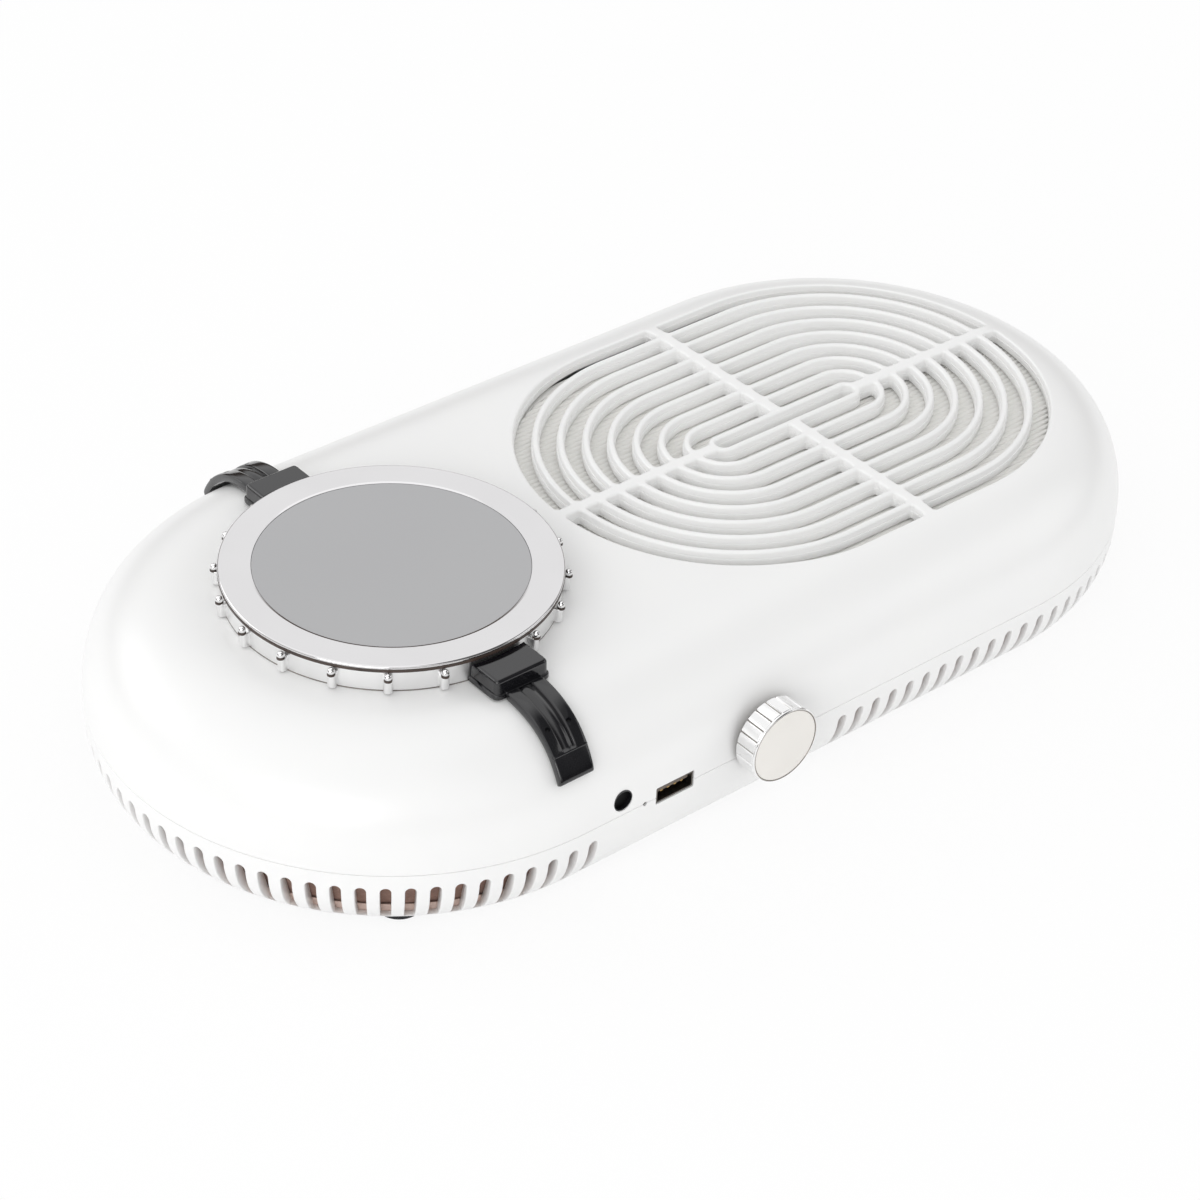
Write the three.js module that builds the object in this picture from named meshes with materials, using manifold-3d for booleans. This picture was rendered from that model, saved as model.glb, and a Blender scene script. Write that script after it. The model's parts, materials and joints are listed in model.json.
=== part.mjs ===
// A table-top dust collector for nail work: a long white body with a ribbed suction grille over a
// pleated filter and a radial fan, a round display module between two black lugs and straps, and a
// front panel with a power inlet, a charging port, a status light and a fluted speed knob.
//
// Millimetres, +Z up. X runs along the body with the display at -X and the grille at +X, and the
// front panel faces -Y. The origin is the middle of the whole object's footprint, on the table.

import * as THREE from "three";
import { mergeVertices } from "three/addons/utils/BufferGeometryUtils.js";
import Module from "manifold-3d";

const wasm = await Module();
wasm.setup();

// Driving dimensions of the body, whose outline is two round ends joined by straight sides
const bodyHalfWidth = 90;
const bodyStraightLength = 180;
const footHeight = 2;
const bandHeight = 23;
const shoulderHeight = 32.5;
const shoulderWidth = 33.7;
const shoulderPower = 2.3;
const wall = 2.5;
const seamGap = 0.4;

// Clearances shared by pieces that seat on, or in, each other
const fit = 0.3;
const runningGap = 1.5;
const overrun = 1;
const mergeDistance = 1e-4;

// Lower band: the round under its edge, its slots and the plain stretch of the front panel
const bandRound = 22;
const bandRoundDrop = 4.5;
const slotDrop = 4.6;
const slotFloor = 3;
const slotWidth = 3.2;
const slotPitch = 7;
const slotMid_share = 0.35;
const panelInset = 6.9;
const panelLength = 88.4;
const tongueHeight = 3;
const tongueWall = 2;
const tongueDepth = 4;
const tongueGap = 0.6;
const stripThickness = 1.5;
const stripGap = 0.6;

// Grille
const rimWidth = 25.1;
const grilleStraightLength = 52;
const ribWidth = 2;
const ribPitch = 7.8;
const ribDepth = 5;
const barWidth = 4;
const smallestLoop = 2.4;

// Filter cassette
const filterGap = 1;
const filterHeight = 16;
const filterSideGap = 0.9;
const filterEndOverlap = 4.1;
const filterFlat = 4;
const filterWall = 3;
const filterLedge = 1.6;
const filterLedgeHeight = 1;
const pleatPitch = 4;
const pleatSheet = 0.6;
const gasketHeight = 1.5;

// Fan deck, the plate under the filter with the fan's inlet
const deckThickness = 2;
const deckEdgeGap = 1.2;
const deckLip = 4;
const inletRadius = 38;
const inletLip = 1.5;
const inletLipHeight = 1.5;
const pillarRadius = 3.5;
const pillarX = 66;
const pillarY = 40;
const potRoom = 3;

// Fan and motor
const fanRadius = 56;
const fanBladeInner = 36;
const fanBladeCount = 11;
const fanBladeThickness = 1.6;
const fanBladeSweepTurn = 0.62;
const fanPlate = 1.5;
const fanHubWall = 1.7;
const mountBossHeight = 2;
const mountBossRadius = 3.5;
const mountScrewRadius = 26;
const mountPlateRadius = 31;
const mountPlate = 2;
const mountTubeRadius = 5.5;
const mountTubeWall = 1.4;
const mountShoulderRadius = 7;
const mountShoulder = 1;
const statorRadius = 14;
const statorHeight = 8;
const statorTeeth = 9;
const toothGap_share = 0.7;
const toothNeck_share = 0.35;
const toothFace_share = 0.8;
const rotorWall = 4.2;
const rotorCap = 1.5;
const shaftRadius = 1.5;
const shaftClearance = 0.15;
const bearingHeight = 2.5;

// Screws
const screwRadius = 1.3;
const screwHeadRadius = 2.6;
const screwHeadHeight = 1.6;
const screwLength = 8;
const mountScrewLength = 5;

// Rubber feet
const footRadius = 7;
const footInset = 17;
const footTurn = 55;
const footStudRadius = 2;

// Display module on the left end
const caseRadius = 49.3;
const caseHeight = 6.6;
const caseFloor = 1.5;
const caseWireRadius = 6;
const bezelOverhang = 0.7;
const bezelFaceWidth = 10;
const bezelHeight = 1.7;
const windowThickness = 2.6;
const windowSink = 0.4;
const windowLedge = 1.8;
const displayBoardThickness = 1.6;
const caseRibCount = 20;
const caseRibWidth = 3.4;
const caseRibProud = 2.1;
const caseRibHeight = 5.2;
const studRadius = 1.2;
const studHeight = 0.8;
const caseScrewRadius = 24;
const caseScrewCount = 3;
const lugScrewBite = 2.9;

// Black lugs and straps in front of and behind the display
const lugWidth = 19.8;
const lugDepth = 11.2;
const lugHeight = 6.2;
const lugCorner = 1.6;
const lugLip = 1.6;
const lugLipStep = 0.7;
const strapWidth = 13;
const strapThickness = 2.4;
const strapEndInset = 4.2;
const strapTongue = 6;
const strapTongueHeight = 2.2;
const strapChannel = 4.4;
const strapChannelDepth = 0.8;
const strapEndLand = 5;

// Front panel: places measured from the left end's centre, heights from the seam
const panelSetback = 2.2;
const dcInset = 13.7;
const dcRise = 5;
const dcHoleRadius = 3.8;
const dcBodyWidth = 9;
const dcBodyHeight = 10.8;
const dcBodyDepth = 14;
const dcBoreRadius = 3.1;
const dcBoreDepth = 8;
const dcPinRadius = 1;
const dcPinSetback = 1.5;
const ledInset = 21.6;
const ledHoleRadius = 1;
const ledRadius = 0.85;
const ledLength = 6;
const usbInset = 33;
const usbRise = 0.5;
const usbWidth = 13.6;
const usbHeight = 5.2;
const usbDepth = 14;
const usbSheet = 0.4;
const usbTongueThickness = 1.6;
const usbTongueSetback = 3.7;
const usbHoleSpare = 0.3;
const usbMouthSetback = 0.3;
const knobInset = 66.5;
const knobRise = 5.5;

// Speed knob and its potentiometer
const knobRadius = 12.2;
const knobDepth = 8;
const knobStandOff = 1.2;
const knobFluteCount = 20;
const knobFluteDepth = 0.7;
const knobFluteFlat_share = 0.3;
const knobFluteFloor_share = 0.1;
const knobFaceStep = 0.8;
const knobShaftRadius = 3;
const knobShaftDepth = 5.5;
const potWidth = 16;
const potHeight = 12.6;
const potDepth = 9;
const potAxisHeight = 6.5;
const potBushRadius = 3.6;
const potBushSpare = 0.4;

// Main board
const boardThickness = 1.6;
const boardDepth = 33;
const boardEnd = 9;
const boardWallGap = 3;
const boardPostRadius = 3;
const boardPostInset = 5;

// Battery pack
const batteryLength = 66;
const batteryWidth = 56;
const batteryHeight = 19;
const batteryEndGap = 24;
const batteryCorner = 6;
const batteryPadThickness = 1;
const batteryPadMargin = 6;
const batteryStop = 2;
const batteryStopHeight = 6;

// How finely round things are divided
const bodyArcSteps = 16;
const shoulderSteps = 6;
const leastLoopSteps = 6;
const discSteps = 48;
const midSteps = 24;
const smallSteps = 12;
const cornerSteps = 7;
const screwSteps = 8;
const bladeSteps = 4;
const studSteps = 6;
const strapSteps = 8;
const packCornerSteps = 3;

// Sizes worked out from the sizes above
const bodyEndX = bodyStraightLength / 2;
const grilleEndX = grilleStraightLength / 2;
const displayX = -bodyEndX;
const grilleX = bodyEndX - grilleEndX;
const flatTopRadius = bodyHalfWidth - shoulderWidth;
const openingRadius = bodyHalfWidth - rimWidth;
const filterHalfWidth = openingRadius - filterSideGap;
const filterHalfLength = grilleEndX + openingRadius + filterEndOverlap;
const bezelRadius = caseRadius + bezelOverhang;
const windowRadius = bezelRadius - bezelFaceWidth;
const lugReach = bezelRadius + lugDepth;
const strapReach = bodyHalfWidth - strapEndInset;

// Levels worked out from the sizes above
const baseZ = footHeight;
const floorZ = baseZ + wall;
const seamZ = baseZ + bandHeight;
const topZ = seamZ + shoulderHeight;
const coverEdgeZ = seamZ + seamGap / 2;
const baseRimZ = seamZ - seamGap / 2;
const ribBottomZ = topZ - ribDepth;
const filterEndRadius = grilleX + filterHalfLength - bodyEndX;
const filterTopZ = Math.min(ribBottomZ, shoulderZ(filterEndRadius, wall)) - filterGap;
const filterBottomZ = filterTopZ - filterHeight;
const gasketBottomZ = filterBottomZ - fit - gasketHeight;
const deckTopZ = gasketBottomZ - fit;
const deckBottomZ = deckTopZ - deckThickness;
const knobAxisZ = seamZ + knobRise;
const dcAxisZ = seamZ + dcRise;
const usbAxisZ = seamZ + usbRise;
const boardTopZ = knobAxisZ - potAxisHeight;
const boardBottomZ = boardTopZ - boardThickness;
const caseBottomZ = topZ + fit;
const caseTopZ = caseBottomZ + caseHeight;
const bezelTopZ = caseTopZ + fit + bezelHeight;

// Places worked out from the sizes above
const dcX = displayX + dcInset;
const ledX = displayX + ledInset;
const usbX = displayX + usbInset;
const knobX = displayX + knobInset;
const panelInnerY = -(bodyHalfWidth - wall);
const knobBackY = -(bodyHalfWidth + knobStandOff);
const knobFaceY = knobBackY - knobDepth;
const frameShiftY = -(knobFaceY + bodyHalfWidth) / 2;

// Materials, in the colours of the object
function plastic(color, roughness) {
  return new THREE.MeshStandardMaterial({ color, roughness, metalness: 0 });
}
function metal(color, roughness) {
  return new THREE.MeshStandardMaterial({ color, roughness, metalness: 1 });
}
const whiteGloss = plastic(0xf1f1f0, 0.18);
const whiteMatte = plastic(0xe8e7e4, 0.55);
const blackGloss = plastic(0x26262a, 0.22);
const blackMatte = plastic(0x1c1c1e, 0.6);
const greyWindow = plastic(0xb3b3b4, 0.25);
const filterPaper = plastic(0xe4e3df, 0.95);
const foam = plastic(0x3a3a3c, 0.95);
const rubber = plastic(0x222224, 0.85);
const boardGreen = plastic(0x1f5a3a, 0.5);
const batteryWrap = plastic(0x7c5d50, 0.4);
const ledLens = plastic(0xdfe9e2, 0.2);
const chrome = metal(0xe4e4e6, 0.08);
const steel = metal(0xb9bbbf, 0.3);
const darkSteel = metal(0x77797e, 0.4);
const copper = metal(0xb5693a, 0.35);
const feltBrown = plastic(0x7c5d50, 0.95);

// Solids: a closed geometry becomes a solid for cutting and joining, and a solid becomes a mesh
function solid(geometry) {
  const bare = geometry.clone();
  bare.deleteAttribute("normal");
  bare.deleteAttribute("uv");
  const merged = mergeVertices(bare, mergeDistance);
  return new wasm.Manifold(
    new wasm.Mesh({
      numProp: 3,
      vertProperties: new Float32Array(merged.attributes.position.array),
      triVerts: new Uint32Array(merged.index.array),
    }),
  );
}

function mesh(name, made, material) {
  const data = made.getMesh();
  const positions = new Float32Array(data.numVert * 3);
  for (let i = 0; i < data.numVert; i++) {
    for (let k = 0; k < 3; k++) {
      positions[i * 3 + k] = data.vertProperties[i * data.numProp + k];
    }
  }
  const geometry = new THREE.BufferGeometry();
  geometry.setAttribute("position", new THREE.BufferAttribute(positions, 3));
  geometry.setIndex(new THREE.BufferAttribute(data.triVerts, 1));
  geometry.computeVertexNormals();
  const piece = new THREE.Mesh(geometry, material);
  piece.name = name;
  return piece;
}

function join(solids) {
  return solids.reduce((all, next) => all.add(next));
}

// A disc or cylinder that stands on level z, and one that lies along Y with its low-Y end at y
function upright(radius, z, height, x = 0, y = 0, steps = smallSteps) {
  const shape = new THREE.CylinderGeometry(radius, radius, height, steps);
  shape.rotateX(Math.PI / 2);
  shape.translate(x, y, z + height / 2);
  return solid(shape);
}
function lying(radius, x, y, z, length, steps = smallSteps) {
  const shape = new THREE.CylinderGeometry(radius, radius, length, steps);
  shape.translate(x, y + length / 2, z);
  return solid(shape);
}

// A box between two corners
function block(x0, y0, z0, x1, y1, z1) {
  const shape = new THREE.BoxGeometry(x1 - x0, y1 - y0, z1 - z0);
  shape.translate((x0 + x1) / 2, (y0 + y1) / 2, (z0 + z1) / 2);
  return solid(shape);
}

// A profile of [radius, height] points turned about a vertical axis at x, y
function turned(profile, steps, x = 0, y = 0) {
  const points = profile.map(([r, z]) => new THREE.Vector2(r, z));
  const shape = new THREE.LatheGeometry(points, steps);
  shape.rotateX(Math.PI / 2);
  shape.translate(x, y, 0);
  return solid(shape);
}

// The closed loop of an upright ring's section, for turned()
function ringSection(inner, outer, low, high) {
  return [
    [inner, low],
    [outer, low],
    [outer, high],
    [inner, high],
    [inner, low],
  ];
}

// An outline in plan, pulled up from level z
function pulledUp(shape, z, height, curveSteps = smallSteps) {
  const made = new THREE.ExtrudeGeometry(shape, {
    depth: height,
    bevelEnabled: false,
    curveSegments: curveSteps,
  });
  made.translate(0, 0, z);
  return solid(made);
}

// An outline drawn in the Y-Z plane, pulled along X about the middle plane x
function pulledAcross(shape, x, width, curveSteps = smallSteps) {
  const made = new THREE.ExtrudeGeometry(shape, {
    depth: width,
    bevelEnabled: false,
    curveSegments: curveSteps,
  });
  made.rotateY(Math.PI / 2);
  made.rotateX(Math.PI / 2);
  made.translate(x - width / 2, 0, 0);
  return solid(made);
}

// An outline drawn in the X-Z plane, pulled towards the front from the plane y
function pulledForward(shape, y, depth, curveSteps = smallSteps) {
  const made = new THREE.ExtrudeGeometry(shape, {
    depth,
    bevelEnabled: false,
    curveSegments: curveSteps,
  });
  made.rotateX(Math.PI / 2);
  made.translate(0, y, 0);
  return solid(made);
}

// A rectangle with round corners, in plan
function roundedRectangle(x0, y0, x1, y1, corner) {
  const shape = new THREE.Shape();
  shape.moveTo(x0 + corner, y0);
  shape.lineTo(x1 - corner, y0);
  shape.absarc(x1 - corner, y0 + corner, corner, -Math.PI / 2, 0);
  shape.lineTo(x1, y1 - corner);
  shape.absarc(x1 - corner, y1 - corner, corner, 0, Math.PI / 2);
  shape.lineTo(x0 + corner, y1);
  shape.absarc(x0 + corner, y1 - corner, corner, Math.PI / 2, Math.PI);
  shape.lineTo(x0, y0 + corner);
  shape.absarc(x0 + corner, y0 + corner, corner, Math.PI, Math.PI * 1.5);
  return shape;
}

// Stations round a stadium: the centre of the end they belong to, and the outward direction
function stadiumStations(halfStraight, steps) {
  const stations = [];
  for (const end of [1, -1]) {
    for (let i = 0; i <= steps; i++) {
      const angle = (i / steps - 1 / 2) * Math.PI + (end < 0 ? Math.PI : 0);
      stations.push([end * halfStraight, Math.cos(angle), Math.sin(angle)]);
    }
  }
  return stations;
}

// A section of [radius, height] points carried round a stadium centred at x = centreX. A section
// that ends where it began makes a ring, and any other is closed by a flat bottom and a flat top.
function carried(section, halfStraight, steps, centreX = 0) {
  const stations = stadiumStations(halfStraight, steps);
  const first = section[0];
  const last = section[section.length - 1];
  const closed = first[0] === last[0] && first[1] === last[1];
  const rows = closed ? section.slice(0, -1) : section;
  const positions = [];
  for (const [x, dx, dy] of stations) {
    for (const [r, z] of rows) {
      positions.push(centreX + x + r * dx, r * dy, z);
    }
  }
  const count = stations.length;
  const at = (station, row) => (station % count) * rows.length + (row % rows.length);
  const faces = [];
  const bands = closed ? rows.length : rows.length - 1;
  for (let s = 0; s < count; s++) {
    for (let r = 0; r < bands; r++) {
      faces.push(at(s, r), at(s + 1, r), at(s + 1, r + 1));
      faces.push(at(s, r), at(s + 1, r + 1), at(s, r + 1));
    }
  }
  if (!closed) {
    for (let s = 1; s < count - 1; s++) {
      faces.push(at(0, 0), at(s + 1, 0), at(s, 0));
      faces.push(at(0, rows.length - 1), at(s, rows.length - 1), at(s + 1, rows.length - 1));
    }
  }
  const geometry = new THREE.BufferGeometry();
  geometry.setAttribute("position", new THREE.Float32BufferAttribute(positions, 3));
  geometry.setIndex(faces);
  return solid(geometry);
}

// The shoulder's curve: how high the outside is at a distance r from the end's centre line,
// for a half width and a top level that may be set in by a wall
function shoulderZ(r, inset = 0) {
  const across = bodyHalfWidth - flatTopRadius;
  const rise = shoulderHeight - inset;
  const out = Math.max(0, r - flatTopRadius + inset) / across;
  if (out >= 1) {
    return seamZ;
  }
  return seamZ + rise * (1 - out ** shoulderPower) ** (1 / shoulderPower);
}

// The section of the upper shell's outside, or of its inside when inset is the wall
function shoulderSection(inset, lowZ) {
  const half = bodyHalfWidth - inset;
  const flat = flatTopRadius - inset;
  const rise = shoulderHeight - inset;
  const section = [[half, lowZ]];
  for (let i = 0; i <= shoulderSteps; i++) {
    const angle = (i / shoulderSteps) * (Math.PI / 2);
    const r = flat + (half - flat) * Math.cos(angle) ** (2 / shoulderPower);
    const z = seamZ + rise * Math.sin(angle) ** (2 / shoulderPower);
    if (z > lowZ + seamGap) {
      section.push([r, z]);
    }
  }
  return section;
}

// The grille: stadium loops one inside the other, joined by a long and a short bar that stop at
// the innermost loop
function grilleLoops() {
  const radii = [];
  const outermost = openingRadius + ribWidth / 2 - ribPitch;
  for (let r = outermost; r >= smallestLoop; r -= ribPitch) {
    radii.push(r);
  }
  return radii;
}
function grille(outside) {
  const radii = grilleLoops();
  const high = topZ + overrun;
  const loops = radii.map((r) => {
    const steps = Math.max(leastLoopSteps, Math.round((bodyArcSteps * r) / openingRadius));
    const section = ringSection(r - ribWidth / 2, r + ribWidth / 2, ribBottomZ, high);
    return carried(section, grilleEndX, steps, grilleX);
  });
  const reach = openingRadius + overrun;
  const long = block(
    grilleX - grilleEndX - reach,
    -barWidth / 2,
    ribBottomZ,
    grilleX + grilleEndX + reach,
    barWidth / 2,
    high,
  );
  const short = block(
    grilleX - barWidth / 2,
    -reach,
    ribBottomZ,
    grilleX + barWidth / 2,
    reach,
    high,
  );
  const innermost = radii[radii.length - 1];
  const eye = carried(
    [
      [innermost, ribBottomZ - overrun],
      [innermost, high + overrun],
    ],
    grilleEndX,
    smallSteps,
    grilleX,
  );
  const bars = long.add(short).subtract(eye);
  return join([...loops, bars]).intersect(outside);
}

// Where the screws that hold the display's case come up through the shell
function caseScrewPlaces() {
  const places = [];
  for (let i = 0; i < caseScrewCount; i++) {
    const angle = (i / caseScrewCount) * 2 * Math.PI;
    places.push([
      displayX + caseScrewRadius * Math.cos(angle),
      caseScrewRadius * Math.sin(angle),
    ]);
  }
  return places;
}
const lugScrewY = (bezelRadius + lugReach) / 2;

// The lip inside the cover's edge that reaches down into the base, but for the front panel
function coverLip() {
  const outerR = bodyHalfWidth - wall - tongueGap;
  const innerR = outerR - tongueWall;
  const lowZ = seamZ - tongueDepth;
  const highZ = seamZ + tongueHeight;
  const intoWall = bodyHalfWidth - wall / 2;
  const ring = carried(
    [
      [innerR, lowZ],
      [outerR, lowZ],
      [outerR, coverEdgeZ + fit],
      [intoWall, coverEdgeZ + fit],
      [intoWall, highZ],
      [innerR, highZ],
      [innerR, lowZ],
    ],
    bodyEndX,
    bodyArcSteps,
  );
  const panelGate = block(
    boardX0 - overrun,
    panelInnerY,
    lowZ - overrun,
    boardX1 + overrun,
    panelInnerY + wall + tongueWall + overrun,
    highZ + overrun,
  );
  return ring.subtract(panelGate);
}

function upperShell() {
  const outside = carried(shoulderSection(0, coverEdgeZ), bodyEndX, bodyArcSteps);
  const insideSection = shoulderSection(wall, coverEdgeZ - overrun);
  const inside = carried(insideSection, bodyEndX, bodyArcSteps);
  const opening = carried(
    [
      [openingRadius, ribBottomZ - overrun],
      [openingRadius, topZ + overrun],
    ],
    grilleEndX,
    bodyArcSteps,
    grilleX,
  );
  const bare = outside.subtract(inside).subtract(opening);
  const shell = join([bare, grille(outside), coverLip()]);
  const wallDepth = wall + 2 * overrun;
  const wallY = -bodyHalfWidth - overrun;
  const dcHole = lying(dcHoleRadius, dcX, wallY, dcAxisZ, wallDepth, midSteps);
  const usbHalf = usbWidth / 2 + usbHoleSpare;
  const usbTop = usbAxisZ + usbHeight / 2 + usbHoleSpare;
  const usbHole = block(
    usbX - usbHalf,
    wallY,
    coverEdgeZ - overrun,
    usbX + usbHalf,
    wallY + wallDepth,
    usbTop,
  );
  const ledHole = lying(ledHoleRadius, ledX, wallY, seamZ, wallDepth);
  const bushHole = lying(
    potBushRadius + potBushSpare,
    knobX,
    wallY,
    knobAxisZ,
    wallDepth,
    midSteps,
  );
  const bushNotch = block(
    knobX - potBushRadius - potBushSpare,
    wallY,
    coverEdgeZ - overrun,
    knobX + potBushRadius + potBushSpare,
    wallY + wallDepth,
    knobAxisZ,
  );
  const holeZ = topZ - wall - overrun;
  const holeDepth = wall + 2 * overrun;
  const holeRadius = screwRadius + fit;
  const screwHoles = caseScrewPlaces().map(([x, y]) =>
    upright(holeRadius, holeZ, holeDepth, x, y, screwSteps),
  );
  for (const side of [-1, 1]) {
    screwHoles.push(
      upright(holeRadius, holeZ, holeDepth, displayX, side * lugScrewY, screwSteps),
    );
  }
  const wireHole = upright(caseWireRadius, holeZ, holeDepth, displayX, 0);
  const cuts = [dcHole, usbHole, ledHole, bushHole, bushNotch, wireHole, ...screwHoles];
  return shell.subtract(join(cuts));
}

// The lower band's outside radius at a height, with the round under its edge
function bandRadius(z) {
  const drop = seamZ - bandRoundDrop - z;
  if (drop <= 0) {
    return bodyHalfWidth;
  }
  const reach = Math.min(drop, bandRound);
  return bodyHalfWidth - bandRound + Math.sqrt(bandRound ** 2 - reach ** 2);
}

// A point of the lower band: how far along the outline from the front middle, anticlockwise seen
// from above, how far out from the ends' centre line, and how high
const halfTurn = Math.PI * bodyHalfWidth;
const outlineLength = 4 * bodyEndX + 2 * halfTurn;
function bandPoint(along, r, z) {
  const s = ((along % outlineLength) + outlineLength) % outlineLength;
  const rightEnd = bodyEndX;
  const rearStart = rightEnd + halfTurn;
  const leftEnd = rearStart + 2 * bodyEndX;
  const frontStart = leftEnd + halfTurn;
  if (s <= rightEnd) {
    return [s, -r, z];
  }
  if (s <= rearStart) {
    const angle = (s - rightEnd) / bodyHalfWidth;
    return [bodyEndX + r * Math.sin(angle), -r * Math.cos(angle), z];
  }
  if (s <= leftEnd) {
    return [bodyEndX - (s - rearStart), r, z];
  }
  if (s <= frontStart) {
    const angle = (s - leftEnd) / bodyHalfWidth;
    return [-bodyEndX - r * Math.sin(angle), r * Math.cos(angle), z];
  }
  return [-bodyEndX + (s - frontStart), -r, z];
}

// The slots' edges along the outline, from the right end of the panel round to its left end
function slotEdges() {
  const start = displayX + panelInset + panelLength;
  const room = outlineLength - panelLength;
  const count = Math.round(room / slotPitch);
  const step = room / count;
  const edges = [];
  for (let i = 0; i < count; i++) {
    const middle = start + step * (i + 1 / 2);
    edges.push([middle - slotWidth / 2, middle + slotWidth / 2]);
  }
  return edges;
}

// The slotted tray: a grid of columns round the outline, whose middle rows stay open in a slot
function slottedTray() {
  const slotTopZ = seamZ - slotDrop;
  const slotLowZ = baseZ + slotFloor;
  const slotMidZ = slotLowZ + (slotTopZ - slotLowZ) * slotMid_share;
  const outer = [baseZ, slotLowZ, slotMidZ, slotTopZ, baseRimZ].map((z) => [
    bandRadius(z),
    z,
  ]);
  const innerLowZ = Math.max(slotLowZ, floorZ) + fit;
  const inner = [
    [bandRadius(floorZ) - wall, floorZ],
    [bandRadius(innerLowZ) - wall, innerLowZ],
    [bodyHalfWidth - wall, slotTopZ],
    [bodyHalfWidth - wall, baseRimZ],
  ];
  const columns = slotEdges().flatMap(([low, high]) => [
    [low, true],
    [high, false],
  ]);
  const [under, sill, middle, head, rim] = outer.keys();
  const [floor, innerSill, innerHead, innerRim] = inner.keys();
  const outerRows = outer.length;
  const innerRows = inner.length;
  const rows = outerRows + innerRows;
  const positions = [];
  for (const [along] of columns) {
    for (const [r, z] of [...outer, ...inner]) {
      positions.push(...bandPoint(along, r, z));
    }
  }
  const count = columns.length;
  const out = (c, r) => (c % count) * rows + r;
  const inn = (c, r) => (c % count) * rows + outerRows + r;
  const faces = [];
  const quad = (a, b, c, d) => faces.push(a, b, c, a, c, d);
  for (let c = 0; c < count; c++) {
    const open = columns[c][1];
    const n = c + 1;
    quad(out(c, under), out(n, under), out(n, sill), out(c, sill));
    quad(inn(c, floor), inn(c, innerSill), inn(n, innerSill), inn(n, floor));
    quad(out(c, head), out(n, head), out(n, rim), out(c, rim));
    quad(inn(c, innerHead), inn(c, innerRim), inn(n, innerRim), inn(n, innerHead));
    quad(out(c, rim), out(n, rim), inn(n, innerRim), inn(c, innerRim));
    if (open) {
      faces.push(out(c, sill), inn(c, innerSill), inn(c, innerHead));
      faces.push(out(c, sill), inn(c, innerHead), out(c, middle));
      faces.push(out(c, middle), inn(c, innerHead), out(c, head));
      faces.push(out(n, sill), inn(n, innerHead), inn(n, innerSill));
      faces.push(out(n, sill), out(n, middle), inn(n, innerHead));
      faces.push(out(n, middle), out(n, head), inn(n, innerHead));
      quad(out(c, sill), out(n, sill), inn(n, innerSill), inn(c, innerSill));
      quad(out(c, head), inn(c, innerHead), inn(n, innerHead), out(n, head));
    } else {
      quad(out(c, sill), out(n, sill), out(n, middle), out(c, middle));
      quad(out(c, middle), out(n, middle), out(n, head), out(c, head));
      quad(inn(c, innerSill), inn(c, innerHead), inn(n, innerHead), inn(n, innerSill));
    }
  }
  for (let c = 1; c < count - 1; c++) {
    faces.push(out(0, under), out(c + 1, under), out(c, under));
    faces.push(inn(0, floor), inn(c, floor), inn(c + 1, floor));
  }
  const geometry = new THREE.BufferGeometry();
  geometry.setAttribute("position", new THREE.Float32BufferAttribute(positions, 3));
  geometry.setIndex(faces);
  return solid(geometry);
}

// Places in plan that the base and what it carries share
function pillarPlaces() {
  const places = [];
  for (const x of [-pillarX, pillarX]) {
    for (const y of [-pillarY, pillarY]) {
      places.push([grilleX + x, y]);
    }
  }
  return places;
}
function mountScrewPlaces() {
  const places = [];
  for (let i = 0; i < 3; i++) {
    const angle = (i / 3) * 2 * Math.PI + Math.PI / 3;
    places.push([
      grilleX + mountScrewRadius * Math.cos(angle),
      mountScrewRadius * Math.sin(angle),
    ]);
  }
  return places;
}
const boardX0 = dcX - dcBodyWidth / 2 - boardEnd;
const boardX1 = knobX + potWidth / 2 + boardEnd;
const boardY0 = panelInnerY + boardWallGap;
const boardY1 = boardY0 + boardDepth;
function boardPostPlaces() {
  const places = [];
  for (const x of [boardX0 + boardPostInset, boardX1 - boardPostInset]) {
    for (const y of [boardY0 + 2 * boardPostInset, boardY1 - boardPostInset]) {
      places.push([x, y]);
    }
  }
  return places;
}
function footPlaces() {
  const out = bodyHalfWidth - footInset;
  const turn = THREE.MathUtils.degToRad(footTurn);
  const x = bodyEndX + out * Math.cos(turn);
  const y = out * Math.sin(turn);
  return {
    front_left: [-x, -y],
    rear_left: [-x, y],
    front_right: [x, -y],
    rear_right: [x, y],
  };
}
const batteryX0 = -bodyEndX - bodyHalfWidth + batteryEndGap;
const batteryX1 = batteryX0 + batteryWidth;

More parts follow.
